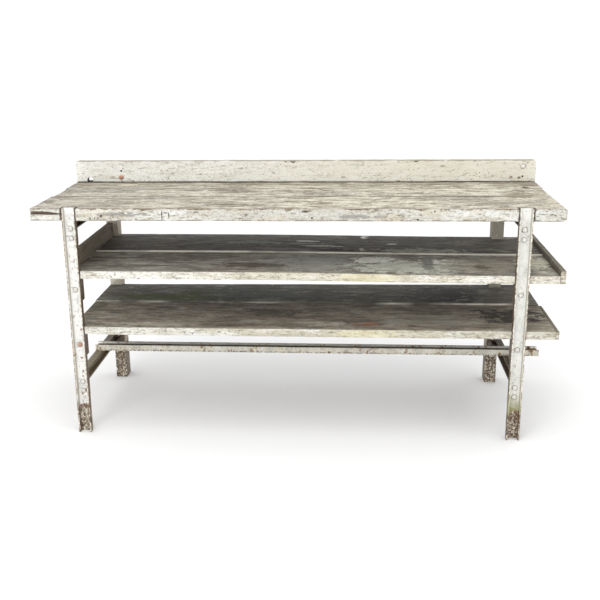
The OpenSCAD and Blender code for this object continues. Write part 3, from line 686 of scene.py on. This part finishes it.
def channel_paint(name, shift, base, inner=(92, 80, 64), rust=0.5,
                  foot_grime=None, green=0.0, spots=(), edges=(), heads=(),
                  crumbs=(0.008, 0.008, 0.01), foot_pale=0.0, far_flange=None, far_end=None):
    """Thick old paint on rolled channel: chips and rust along the edges, grime at the foot."""
    coat = Finish(name, shift)
    coat.blur = coat.grain((0.012, 0.012, 0.02), 5, 0.65)
    cloud = coat.grain((0.035, 0.035, 0.07), 5, 0.65)
    fine = coat.grain((0.009, 0.009, 0.012), 5, 0.72)
    pits = coat.grain((0.006, 0.006, 0.008), 4, 0.7)
    colour = coat.coat(base, (222, 222, 216), cloud.span(0.5, 0.6) * 0.5)
    colour.lay((272, 272, 268), cloud.span(0.46, 0.38) * 0.7)
    colour.lay((140, 132, 118), fine.span(0.6, 0.64) * 0.6)
    fleck = coat.specks((0.016, 0.016, 0.022)).span(0.13, 0.08)
    colour.lay((72, 62, 48), fleck * 0.75)
    # faces that look sideways or back were never kept clean
    front = coat.facing_y.span(-0.3, -0.75)
    dirty = 1.0 - front * FRONT_CLEAN
    flank = coat.coat(inner, (146, 134, 112), fine.span(0.46, 0.62) * 0.6)
    flank.lay((196, 188, 168), cloud.span(0.6, 0.7) * 0.5)
    if edges:
        # the paint inside the channel has stayed cleaner than the paint outside it
        middle, half = (edges[0][0] + edges[1][0]) / 2, (edges[1][0] - edges[0][0]) / 2
        off_middle = abs(coat.x - middle)
        sheltered = off_middle.span(half - 2 * MM, half - 3 * MM) * coat.y.span(-0.3, -0.31)
        flank.lay((214, 210, 200), sheltered * 0.9)
    colour.lay(flank, dirty)
    flat = coat.node("ShaderNodeCombineXYZ", X=coat.x, Z=coat.z).outputs[0]
    # painted shade: a darker ring on the front faces round each bolt head
    for x, z in heads:
        gap = coat.gap_to(flat, (x, 0, z))
        head_shade_ring = gap.span(9.5 * MM, 10.5 * MM) * gap.span(13 * MM, 11 * MM)
        head_shade_ring = head_shade_ring * fine.span(0.42, 0.54, 0.2, 1.0)
        colour.lay((140, 134, 122), head_shade_ring * front * 0.55)
    # chips down to rusty steel
    if far_flange is not None:
        # the stretcher's far flange is pale above, brightened as painted light against the shade under the
        # shelf, and black below
        middle_y, top, foot = far_flange
        far = coat.y.span(middle_y - 2 * MM, middle_y) * front
        colour.lay((300, 298, 284), far * 0.85)
        colour.lay((44, 36, 28), far * coat.z.span(top - 8 * MM, top - 10 * MM) * 0.9)
        near = (front * pits.span(0.5, 0.54)).less(far)
        rim = coat.z.span(foot + 9 * MM, foot + 4 * MM) | coat.z.span(top - 3 * MM, top - 1 * MM) * 0.6
        colour.lay((88, 66, 46), near * rim * 0.85)
    if far_end is not None:
        colour.lay((74, 57, 42), coat.y.span(far_end, far_end + 0.12) * 0.75)
    bite = (fine * 0.6 + coat.blur * 0.4).span(0.585 - 0.05 * rust, 0.6 - 0.05 * rust)
    for at, reach, tip in edges:
        gap = abs(coat.x - at)
        close = gap.span(reach, reach * 0.6) * front
        colour.lay(tip, close * cloud.span(0.42, 0.52, 0.3, 0.95))
        scab = coat.grain((0.009, 0.009, 0.016), 5, 0.7)
        colour.lay(RUST, close * scab.span(0.53, 0.56) * 0.7)
        outer = gap.span(reach, reach * 0.2)
        dark_scab = outer * front * pits.span(0.5, 0.54)
        colour.lay((78, 52, 32), dark_scab * 0.85)
    rare = bite * coat.grain((0.05, 0.05, 0.08), 3).span(0.52, 0.6)
    colour.lay(RUST, rare * rust)
    for x, z, reach in spots:
        spot = coat.blot(x, z, reach, reach * 1.15, 0.7, coat.z)
        colour.lay(RUST, spot * 0.85)
        core = coat.blot(x, z, reach * 0.5, reach * 0.5, 0.7, coat.z)
        colour.lay(DARK_RUST, core * 0.7)
    if foot_grime is not None:
        line = coat.z + (coat.grain((0.02, 0.02, 0.035), 4, 0.6) - 0.5) * 0.11
        if green:
            moss = line.span(foot_grime + 0.085, foot_grime + 0.02) * green
            colour.lay((168, 168, 118), moss)
        low_part = line.span(foot_grime + 0.006, foot_grime - 0.006)
        speck = coat.grain(crumbs, 5, 0.76)
        crust = coat.tones(speck, (0.4 - foot_pale, (62, 46, 34)), (0.47 - foot_pale, (118, 98, 80)),
                           (0.52 - foot_pale, (160, 142, 118)), (0.56 - foot_pale, (216, 204, 180)),
                           (0.6 - foot_pale, (256, 252, 240)))
        crust.lay((92, 66, 44), dirty * 0.6)
        band = line.span(foot_grime - 0.05, foot_grime - 0.01) * fine.span(0.44, 0.5)
        crust.lay((112, 72, 40), band * 0.8)
        colour.lay(crust, low_part)
    height = fine * 1.0 + pits * 0.5
    return coat.surface(colour, 0.55, height, 0.45, 0.8 * MM)


def bolt_paint():
    coat = Finish("bolt_paint", (7, 1, 2))
    fine = coat.grain((0.006, 0.006, 0.006), 4, 0.7)
    cloud = coat.grain((0.05, 0.05, 0.05), 2)
    colour = coat.coat((250, 249, 242), (196, 190, 176), fine.span(0.52, 0.66))
    colour.lay(RUST, fine.span(0.6, 0.64) * 0.7)
    rim = coat.facing_y.span(-0.75, -0.45)
    colour.lay((150, 144, 132), rim * 0.8)
    rusty = coat.blot_at((-0.86, -0.322, 0.368), 0.016) * fine.span(0.4, 0.5)
    rusty = rusty | coat.blot_at((-0.803, 0.268, 0.94), 0.014)
    rusty = rusty | coat.blot_at((0.936, 0.264, 0.984), 0.007)
    colour.lay((190, 128, 94), rusty * 0.9)
    behind = coat.y.span(-0.316, -0.312) * coat.y.span(0.24, 0.2)
    colour.lay((96, 82, 64), behind * 0.8)
    return coat.surface(colour, 0.5, fine + cloud, 0.4, 0.5 * MM)


def rusty_iron():
    coat = Finish("rusty_iron", (2, 8, 4))
    fine = coat.grain((0.004, 0.004, 0.004), 5, 0.7)
    broad = coat.grain((0.014, 0.014, 0.014), 4, 0.6)
    colour = coat.tones(fine, (0.34, (62, 38, 26)), (0.5, (122, 72, 42)), (0.66, (176, 116, 70)))
    colour.lay((208, 192, 164), broad.span(0.56, 0.66) * 0.6)
    return coat.surface(colour, 0.85, fine, 0.6, 0.6 * MM)


# ---- Camera, floor and light ------------------------------------------------

def set_camera():
    """Stands a little right of the middle and looks down at the bench."""
    data = bpy.data.cameras.new("camera")
    camera = bpy.data.objects.new("camera", data)
    bpy.context.scene.collection.objects.link(camera)
    data.sensor_width = 36
    data.lens = 54.06
    data.shift_x = 0.026
    data.shift_y = 0.0
    pitch, yaw, roll = math.radians(16.62), math.radians(-4.3), math.radians(-0.7375)
    ahead = Vector((math.sin(yaw) * math.cos(pitch), math.cos(yaw) * math.cos(pitch), -math.sin(pitch)))
    right = Vector((math.cos(yaw), -math.sin(yaw), 0))
    up = right.cross(ahead)
    side = math.cos(roll) * right + math.sin(roll) * up
    top = math.cos(roll) * up - math.sin(roll) * right
    camera.matrix_world = Matrix((
        (side.x, top.x, -ahead.x, 0.2032),
        (side.y, top.y, -ahead.y, -3.6229),
        (side.z, top.z, -ahead.z, 1.5491),
        (0, 0, 0, 1)))
    bpy.context.scene.camera = camera


def lay_floor():
    """A pale floor that sweeps up behind the bench."""
    floor = block("floor_sweep", (-9, -8, -0.3), (9, 5, -0.0005))
    mark(floor, "EDGE", lambda a, b: a.y > 4.9 and b.y > 4.9 and a.z > -0.1 and b.z > -0.1)
    bpy.ops.mesh.extrude_edges_move(TRANSFORM_OT_translate={"value": (0, 0, 6)})
    bpy.ops.object.mode_set(mode="OBJECT")
    mark(floor, "EDGE", lambda a, b: a.y > 4.9 and b.y > 4.9 and abs(a.z) < 0.1 and abs(b.z) < 0.1)
    bpy.ops.mesh.bevel(offset=2.5, segments=12, affect="EDGES")
    bpy.ops.object.mode_set(mode="OBJECT")
    smooth(floor)
    coat = Finish("floor_white")
    cloud = coat.grain((1.5, 1.5, 1.5), 3, 0.5)
    colour = coat.coat((0.95, 0.95, 0.95, 1), (0.93, 0.93, 0.93, 1), cloud.span(0.4, 0.6))
    floor.data.materials.clear()
    floor.data.materials.append(coat.surface(colour, 0.9, cloud, 0.05, 1 * MM))


def set_light():
    world = bpy.data.worlds.new("studio")
    world.use_nodes = True
    sky = world.node_tree.nodes["Background"]
    sky.inputs["Color"].default_value = (1.0, 1.0, 1.0, 1.0)
    sky.inputs["Strength"].default_value = 1.06
    bpy.context.scene.world = world
    for name, place, aim, size, power in (
            ("soft_front", (-1.2, -4.2, 3.4), (0, 0, 0.6), 3.0, 85),
            ("soft_top", (0.6, -0.8, 4.2), (0, 0, 0.9), 3.0, 30)):
        data = bpy.data.lights.new(name, "AREA")
        data.shape = "SQUARE"
        data.size = size
        data.energy = power
        lamp = bpy.data.objects.new(name, data)
        bpy.context.scene.collection.objects.link(lamp)
        lamp.location = place
        lamp.rotation_euler = (Vector(aim) - Vector(place)).to_track_quat("-Z", "Y").to_euler()
    bpy.context.scene.view_settings.view_transform = "Standard"


# ---- Timber -----------------------------------------------------------------

LEG_ROOM = 2.5 * MM
FRONT_LEGS_BACK = -0.25


def leg_cutters(legs, low, high):
    """Blocks that clear the legs out of a board."""
    cutters = []
    for leg in legs:
        a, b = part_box(leg)
        ahead = 0.05 if leg.startswith("front") else LEG_ROOM
        cutters.append(block("leg_room", (a.x - LEG_ROOM, a.y - ahead, low.z - 0.01),
                             (b.x + LEG_ROOM, b.y + LEG_ROOM, high.z + 0.01)))
    return cutters


def sawn_board(name, node, cells, arris=1.2 * MM):
    """A board cut to the size of its plain solid, its edges eased, cut into cells for wearing."""
    low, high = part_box(node)
    board = block(name, low, high)
    mark(board, "EDGE", lambda a, b: True)
    bpy.ops.mesh.bevel(offset=arris, segments=2, affect="EDGES")
    bpy.ops.object.mode_set(mode="OBJECT")
    for axis in (2, 1, 0):
        first = max(1, round(cells[axis] ** 0.5)) if cells[axis] > 60 else 1
        if first > 1:
            cells_along(board, axis, first)
            cells_along(board, axis, round(cells[axis] / first))
        else:
            cells_along(board, axis, cells[axis])
    return board, low, high


def cracks_on(low, high, count, rng, longest=0.34):
    """Long thin cracks along the grain, in separate rows so they don't cross."""
    cutters = []
    keep_off = 0.012
    rows = (high.y - low.y - 2 * keep_off) / count
    for i in range(count):
        y = low.y + keep_off + rows * (i + 0.3 + 0.4 * rng.random())
        length = longest * (0.25 + 0.75 * rng.random())
        x = low.x + length / 2 + 0.03 + (high.x - low.x - length - 0.06) * rng.random()
        wide = (0.5 + 1.0 * rng.random()) * MM
        deep = (3 + 5 * rng.random()) * MM
        cutters.append(lens((x, y, high.z), (deep, wide, length / 2), (0, 90, 0), 14, 6))
    return cutters


def edge_chips(low, high, count, rng, along_top=True):
    """Small bites out of the front arris."""
    cutters = []
    for i in range(count):
        x = low.x + 0.03 + (high.x - low.x - 0.06) * (i + 0.2 + 0.6 * rng.random()) / count
        reach = (3 + 9 * rng.random() ** 2) * MM
        z = high.z if along_top else low.z
        deep, tall = (1.2 + 1.6 * rng.random()) * MM, (1.2 + 2.2 * rng.random()) * MM
        cutters.append(lens((x, low.y, z), (reach, deep, tall), rings=6, sides=8))
    return cutters


def worn_plank(name, node, cells, warp, furrows, fur, ends_wear):
    """A worktop plank, warped, furrowed and worn at its ends; each wear is given where its grain starts."""
    plank, low, high = sawn_board(name, node, cells, 1.5 * MM)
    weather(plank, 2.0 * MM, (0.5, 0.12, 0.4), "Z", start=warp)
    weather(plank, 1.8 * MM, (0.1, 0.012, 0.02), start=furrows)
    weather(plank, 1.2 * MM, (0.03, 0.006, 0.012), start=fur)
    ends = group_by(plank, "ends", lambda p: max(1 - (p.x - low.x) / 0.02, 1 - (high.x - p.x) / 0.02))
    weather(plank, 6 * MM, (0.3, 0.03, 0.03), "X", group=ends, start=ends_wear)
    return plank, low, high


def build_worktop():
    # front plank, its front edge painted
    plank, low, high = worn_plank("worktop_plank_front", "worktop_front_plank", (150, 44, 8),
                                  (3, 1, 0), (1, 2, 3), (4, 0, 1), (0, 2, 5))
    rng = random.Random(11)
    carve(plank, *cracks_on(low, high, 13, rng))
    carve(plank, lens((-0.957, low.y - 1 * MM, 0.901), (0.066, 6 * MM, 7 * MM), (0, 3, 0), 12, 12),
          lens((-0.19, -0.2385, high.z), (6 * MM, 1.6 * MM, 0.165), (0, 90, -1), 16, 6),
          lens((0.905, -0.129, high.z), (6 * MM, 1.6 * MM, 0.082), (0, 90, 2), 14, 6),
          lens((0.6, -0.172, high.z), (4 * MM, 1.2 * MM, 0.11), (0, 90, 10), 14, 6))
    carve(plank, *edge_chips(low, high, 26, rng), *edge_chips(low, high, 15, rng, False))
    upright = lens((-0.5, low.y, 0.895), (0.8 * MM, 7 * MM, 0.02), (0, 4, 0), 8, 8)
    leaning = [lens((-0.515, low.y, 0.899), (0.7 * MM, 4 * MM, 0.013), (0, -32, 0), 8, 8),
               lens((-0.474, low.y, 0.896), (0.7 * MM, 3 * MM, 0.014), (0, -16, 0), 8, 8)]
    dents = []
    for x, z, wide, tall in (
            (-0.732, 0.89, 4, 5), (-0.775, 0.879, 3, 4), (-0.758, 0.881, 2, 5), (-0.747, 0.881, 1.5, 5),
            (-0.54, 0.906, 8, 3), (-0.37, 0.906, 14, 2), (0.037, 0.908, 16, 3), (0.513, 0.909, 4, 3),
            (0.916, 0.909, 4, 2), (0.452, 0.877, 5, 3), (-0.6, 0.878, 6, 3), (0.063, 0.884, 5, 4)):
        dents.append(lens((x, low.y, z), (wide * MM, 2.6 * MM, tall * MM)))
    carve(plank, upright, *dents)
    carve(plank, *leaning)
    inset = 9 * MM
    corner = block("corner", (high.x - inset, low.y - 0.05, low.z - 0.01),
                   (high.x + 0.05, low.y + inset, high.z + 0.01))
    middle = (high.x - inset, low.y + inset, (low.z + high.z) / 2)
    carve(corner, lens(middle, (inset, inset, 0.4), sides=24))
    carve(plank, corner)
    round_corner(plank, high.x, low.z, 1, -1, 15 * MM)
    round_corner(plank, high.x, high.z, 1, 1, 9 * MM)
    carve(plank, *leg_cutters(FRONT_LEGS, low, high))
    smooth(plank)
    fit(plank, "worktop_front_plank",
        worktop_timber("front_plank_timber", low, high, (0, 0, 0), True))
    # middle and rear planks
    for place, rows, seed, shift in (("middle", 32, 12, (4.2, 7.7, 1.3)), ("rear", 38, 13, (9.1, 3.3, 5.8))):
        name, node = f"worktop_plank_{place}", f"worktop_{place}_plank"
        plank, low, high = worn_plank(name, node, (150, rows, 6),
                                      (seed, 1, 0), (1, seed, 3), (4, 0, seed), (0, seed, 5))
        rng = random.Random(seed)
        carve(plank, *cracks_on(low, high, 9, rng))
        smooth(plank)
        fit(plank, node, worktop_timber(name + "_timber", low, high, shift, False))


NOTCH_X = -0.945


def build_backboard():
    board, low, high = sawn_board("backboard_painted", "backboard", (130, 6, 14), 1.6 * MM)
    weather(board, 1.6 * MM, (0.4, 0.3, 0.05), "Y", start=(2, 0, 0))
    weather(board, 1.2 * MM, (0.03, 0.02, 0.008), start=(5, 2, 3))
    foot = group_by(board, "foot", lambda p: 1 - (p.z - low.z) / (8 * MM))
    weather(board, 5.0 * MM, (0.16, 0.3, 0.3), "Z", group=foot, start=(4, 1, 2), middle=0.15)
    top = group_by(board, "top", lambda p: (p.z - high.z + 8 * MM) / (8 * MM))
    weather(board, 3.2 * MM, (0.05, 0.3, 0.3), "Z", group=top, start=(1, 1, 7))
    rng = random.Random(21)
    bites, flecks = [], []
    for x, wide, deep in ((-0.078, 10, 6), (-0.045, 17, 11), (0.484, 14, 9), (0.598, 11, 5), (0.733, 9, 6),
                          (0.3, 9, 3), (-0.55, 12, 2.5)):
        bites.append(lens((x, low.y - 0.4 * MM, high.z - 1 * MM), (wide * MM, 4 * MM, deep * MM)))
    for i in range(22):
        x = low.x + 0.04 + 1.9 * (i + rng.random()) / 22
        z = low.z + 8 * MM + 74 * MM * rng.random()
        wide, tall = (1.2 + 2.4 * rng.random()) * MM, (1 + 1.6 * rng.random()) * MM
        flecks.append(lens((x, low.y, z), (wide, 1.8 * MM, tall), rings=6, sides=8))
    carve(board, *bites)
    carve(board, *flecks)
    # the arched notch, then the bolt holes and the two empty ones
    middle_y, radius, arch_z = (low.y + high.y) / 2, 13 * MM, low.z + 10 * MM
    carve(board, rod(NOTCH_X, middle_y, arch_z, radius, 0.06, 28))
    carve(board, block("slot", (NOTCH_X - radius, low.y - 0.01, low.z - 0.01),
                       (NOTCH_X + radius, high.y + 0.01, arch_z)))
    carve(board, *[rod(x, middle_y, z, 4.5 * MM, 0.06, 20)
                   for x, z in ((-0.803, 0.94), (-0.803, 0.968), (0.936, 0.984), (0.936, 0.942))])
    round_corner(board, low.x, high.z, -1, 1, 13 * MM)
    round_corner(board, high.x, high.z, 1, 1, 13 * MM)
    smooth(board)
    fit(board, "backboard", backboard_paint(low, high))


DARK_TOP = (132, 122, 110)
DARKER_TOP = (98, 92, 83)


def cut_askew(board, low, high):
    """Draws the lower rear board's back edge in towards its left end, as its plain solid has it."""
    share = group_by(board, "askew",
                     lambda p: (p.y - low.y) / (high.y - low.y) * (high.x - p.x) / (high.x - low.x))
    draw = board.modifiers.new("askew", "DISPLACE")
    draw.direction = "Y"
    draw.mid_level = 0
    draw.strength = -ASKEW
    draw.vertex_group = share
    apply_last(board, draw)


# how wide the boards' cells are across the grain
CELL = 8.5 * MM


def build_shelves():
    pale, dark = (226, 222, 208), (58, 52, 44)
    plans = (
        ("upper_shelf_front", "upper_shelf_front_board", DARK_TOP, (170, 165, 151), 0.7, (240, 236, 220),
         (3.1, 0.4, 2.2), (
            (0.06, -0.16, 0.2, 0.15, (198, 200, 190), 0.65), (0.3, -0.12, 0.1, 0.06, (280, 282, 270), 0.9),
            (0.43, -0.22, 0.24, 0.1, (246, 249, 232), 0.8), (0.6, -0.13, 0.12, 0.05, (290, 292, 280), 0.85),
            (0.51, -0.16, 0.022, 0.13, (160, 160, 152), 0.9), (0.71, -0.17, 0.14, 0.12, (196, 187, 168), 0.8),
            (0.715, -0.2, 0.03, 0.035, (112, 96, 70), 0.7), (-0.17, -0.22, 0.16, 0.035, (84, 72, 58), 0.7),
            (-0.64, -0.206, 0.045, 0.008, pale, 0.9), (-0.54, -0.212, 0.05, 0.006, pale, 0.9),
            (0.93, -0.13, 0.07, 0.12, (250, 246, 222), 0.85), (0.37, -0.326, 0.028, 0.012, dark, 0.9),
            (-0.83, -0.28, 0.06, 0.05, (166, 166, 156), 0.6))),
        ("upper_shelf_rear", "upper_shelf_rear_board", DARKER_TOP, (120, 115, 104), 0.25, None,
         (6.4, 8.0, 1.1), (
            (0.08, 0.105, 0.09, 0.018, (230, 230, 218), 0.75),
            (0.02, 0.19, 0.05, 0.012, (250, 252, 246), 0.85),
            (-0.2, 0.155, 0.12, 0.035, (142, 148, 146), 0.8),
            (-0.01, 0.15, 0.09, 0.014, (178, 178, 168), 0.7),
            (-0.1, 0.05, 0.08, 0.02, (150, 150, 138), 0.8), (0.153, 0.133, 0.024, 0.02, (34, 30, 26), 0.95),
            (0.27, 0.27, 0.018, 0.03, (270, 268, 250), 0.9),
            (0.255, 0.045, 0.016, 0.03, (250, 246, 226), 0.8),
            (0.385, 0.156, 0.03, 0.012, (270, 268, 252), 0.9), (0.5, 0.04, 0.2, 0.045, (204, 202, 188), 0.8),
            (0.18, 0.03, 0.09, 0.03, (46, 42, 36), 0.8), (0.845, 0.2, 0.03, 0.014, (160, 156, 142), 0.8),
            (0.84, 0.05, 0.03, 0.02, (170, 166, 152), 0.8), (0.6, 0.26, 0.16, 0.05, (66, 62, 56), 0.6))),
        ("lower_shelf_front", "lower_shelf_front_board", (132, 120, 104), (158, 147, 129), 0.4,
         (222, 218, 202),
         (1.7, 5.5, 0.9), (
            (0.12, -0.255, 0.09, 0.03, (206, 196, 178), 0.7),
            (0.265, -0.257, 0.05, 0.03, (168, 116, 84), 0.8),
            (-0.62, -0.285, 0.17, 0.032, (196, 188, 170), 0.6), (0.85, -0.13, 0.14, 0.1, (50, 44, 38), 0.9),
            (-0.86, -0.06, 0.04, 0.09, (88, 84, 50), 0.7), (-0.12, -0.11, 0.12, 0.05, (82, 72, 58), 0.7),
            (0.45, -0.275, 0.02, 0.02, dark, 0.7), (0.93, -0.28, 0.09, 0.06, (180, 172, 152), 0.7),
            (-0.14, -0.24, 0.07, 0.03, (178, 168, 148), 0.5),
            (0.52, -0.2, 0.18, 0.07, (160, 156, 142), 0.6))),
        ("lower_shelf_rear", "lower_shelf_rear_board", (92, 86, 74), (118, 114, 102), 0.3, None,
         (8.8, 2.6, 3.7), (
            (-0.58, 0.08, 0.26, 0.045, (88, 100, 34), 0.9), (-0.45, 0.17, 0.08, 0.05, (84, 92, 44), 0.8),
            (-0.19, 0.15, 0.22, 0.08, (92, 100, 92), 0.8), (0.62, 0.14, 0.16, 0.12, (42, 38, 33), 0.85),
            (0.85, 0.13, 0.1, 0.12, (124, 118, 106), 0.8), (-0.82, 0.05, 0.05, 0.03, (140, 140, 128), 0.5))))
    for name, node, dark_tone, light_tone, lightness, front_tone, shift, blots in plans:
        painted = front_tone is not None
        front_y, rear_y = (corner.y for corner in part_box(node))
        board, low, high = sawn_board(name, node, (140, round((rear_y - front_y) / CELL), 5), 1.2 * MM)
        if node == "lower_shelf_rear_board":
            cut_askew(board, low, high)
        seed = len(name) * 7 + round(shift[0] * 10)
        weather(board, 1.6 * MM, (0.5, 0.15, 0.4), "Z", start=(seed, 1, 0))
        weather(board, 1.2 * MM, (0.08, 0.014, 0.014), start=(1, seed, 3))
        if painted:
            front = group_by(board, "front", lambda p, y=low.y: 1 - (p.y - y) / 0.006)
            weather(board, 3.0 * MM, (0.035, 0.01, 0.01), "Y", group=front, start=(0, 3, seed))
            weather(board, 2.2 * MM, (0.25, 0.2, 0.05), "Z", group=front, start=(2, 3, seed))
        rng = random.Random(seed)
        carve(board, *cracks_on(low, high, 6, rng, longest=0.25))
        if painted:
            carve(board, *edge_chips(low, high, 22, rng), *edge_chips(low, high, 12, rng, False))
        carve(board, *leg_cutters(FRONT_LEGS if painted else BACK_LEGS, low, high))
        smooth(board)
        fit(board, node,
            shelf_timber(name + "_timber", low, high, shift, dark_tone, light_tone, blots,
                                                      painted, lightness, front_tone))
    # end board along the left, its packer, and the battens under the boards
    small = [
        ("end_board_dirty", "upper_shelf_end_board", (4, 60, 8), (138, 128, 110), (172, 160, 138), (1, 1, 1),
         (0.02, 0.3, 0.01)),
        ("packer_block", "end_board_packer", (4, 6, 2), (196, 186, 166), (226, 218, 200), (2, 1, 1),
         (0.02, 0.3, 0.01)),
    ]
    for i, place in enumerate(("upper_left", "upper_right", "lower_left", "lower_right")):
        shelf, side = place.split("_")
        small.append((f"under_batten_{place}", f"{shelf}_shelf_batten_{side}", (8, 50, 3), (96, 84, 68),
                      (128, 116, 96), (3 + i, 1, 1), (0.01, 0.3, 0.01)))
    for name, node, cells, base, streaks, shift, size in small:
        board, low, high = sawn_board(name, node, cells, 0.9 * MM)
        weather(board, 1.0 * MM, (0.02, 0.08, 0.012), start=shift)
        smooth(board)
        fit(board, node, grimy_timber(name + "_wood", base, streaks, shift, size))
    for name, node, cells, shift in (("end_batten_right", "upper_shelf_end_batten", (4, 70, 8), (2, 4, 6)),
                                     ("end_strip_right", "lower_shelf_end_strip", (3, 50, 5), (7, 4, 6))):
        board, low, high = sawn_board(name, node, cells, 1.2 * MM)
        weather(board, 1.6 * MM, (0.02, 0.1, 0.02), start=shift)
        weather(board, 0.9 * MM, (0.008, 0.02, 0.008), start=shift)
        smooth(board)
        fit(board, node, batten_paint(name + "_paint", low, high, shift))


# ---- Steel ------------------------------------------------------------------

def bolt_heads(node):
    """The places in X and Z of the bolts along the front legs."""
    heads = []
    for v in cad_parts[node].data.vertices:
        if v.co.y < FRONT_LEGS_BACK:
            for head in heads:
                if abs(v.co.x - head[0].x) < 0.02 and abs(v.co.z - head[0].z) < 0.02:
                    head.append(v.co)
                    break
            else:
                heads.append([v.co])
    places = []
    for head in heads:
        middle = sum(head, Vector()) / len(head)
        places.append((middle.x, middle.z - SHELF_DROP * sunk_share(middle)))
    return places


def build_steel():
    left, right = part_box("front_leg_left"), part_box("front_leg_right")
    heads = bolt_heads("rail_bolts") + bolt_heads("bracket_bolts")
    low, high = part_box("stretcher")
    flange = ((low.y + high.y) / 2, high.z, low.z)
    plans = [
        ("leg_front_left", "front_leg_left", 2, dict(
            shift=(0, 0, 0), base=(272, 272, 268), foot_grime=0.125, inner=(96, 72, 48), heads=heads,
            edges=((left[0].x, 0.0055, (216, 199, 170)), (left[1].x, 0.005, (250, 244, 226))),
            crumbs=(0.01, 0.01, 0.017), foot_pale=0.025,
            spots=((-0.851, 0.429, 0.006), (-0.856, 0.314, 0.004), (-0.856, 0.256, 0.006),
                   (-0.846, 0.175, 0.01),
                   (-0.864, 0.161, 0.008), (-0.879, 0.328, 0.003), (-0.858, 0.236, 0.004)))),
        ("leg_front_right", "front_leg_right", 2, dict(
            shift=(5, 2, 0), base=(258, 259, 252), foot_grime=0.112, green=0.8, inner=(92, 74, 52),
            heads=heads,
            edges=((right[0].x, 0.005, (250, 246, 226)), (right[1].x, 0.0055, (246, 240, 218))),
            spots=((0.834, 0.117, 0.012), (0.85, 0.113, 0.012), (0.842, 0.108, 0.01),
                   (0.862, 0.112, 0.006)))),
        ("leg_back_left", "back_leg_left", 2, dict(
            shift=(1, 6, 0), base=(262, 252, 230), foot_grime=0.16, inner=(190, 174, 146), rust=0.7)),
        ("leg_back_right", "back_leg_right", 2, dict(
            shift=(8, 3, 1), base=(232, 226, 202), foot_grime=0.16, inner=(150, 138, 112), rust=0.9)),
        ("stretcher_channel", "stretcher", 0, dict(
            shift=(3, 3, 3), base=(262, 256, 236), inner=(70, 56, 42), rust=1.1, far_flange=flange,
            spots=((0.957, 0.262, 0.01), (0.93, 0.247, 0.006), (0.83, 0.246, 0.006), (-0.6, 0.243, 0.005),
                   (-0.31, 0.247, 0.004), (0.12, 0.244, 0.006), (0.44, 0.249, 0.004)))),
    ]
    for side in ("left", "right"):
        plans.append((f"rail_top_{side}", f"top_rail_{side}", 1, dict(
            shift=(2, 2, 5), base=(168, 155, 132), inner=(112, 94, 70), rust=0.6)))
        low_inner = (158, 143, 116) if side == "left" else (88, 72, 50)
        plans.append((f"rail_low_{side}", f"lower_rail_{side}", 1, dict(
            shift=(4, 1, 5), base=(172, 158, 130), inner=low_inner, far_end=0.02, rust=0.9)))
    for name, node, axis, finish in plans:
        piece = tidy_copy(node, name)
        low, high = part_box(node)
        slice_every(piece, axis, low[axis], high[axis], 0.014)
        weather(piece, 0.9 * MM, (0.012, 0.012, 0.012), start=finish["shift"])
        smooth(piece, 30)
        fit(piece, node, channel_paint(name + "_paint", **finish))
    bracket_finish = channel_paint("bracket_paint", (6, 6, 2), (104, 86, 64), inner=(84, 64, 44), rust=0.9)
    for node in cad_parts:
        if "bracket" in node and "bolts" not in node and "nuts" not in node and "screws" not in node:
            piece = tidy_copy(node, "worn_" + node)
            weather(piece, 0.5 * MM, (0.012, 0.012, 0.012))
            smooth(piece, 30)
            fit(piece, node, bracket_finish)
    painted, rusty = bolt_paint(), rusty_iron()
    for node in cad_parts:
        if node.endswith(("bolts", "nuts", "screws", "nails")):
            piece = tidy_copy(node, "old_" + node)
            smooth(piece, 40)
            if node in ("rail_bolts", "bracket_bolts", "stretcher_bolts", "backboard_bolts"):
                fit(piece, node, painted)
            else:
                fit(piece, node, rusty)


set_camera()
lay_floor()
set_light()
build_worktop()
build_backboard()
build_shelves()
build_steel()
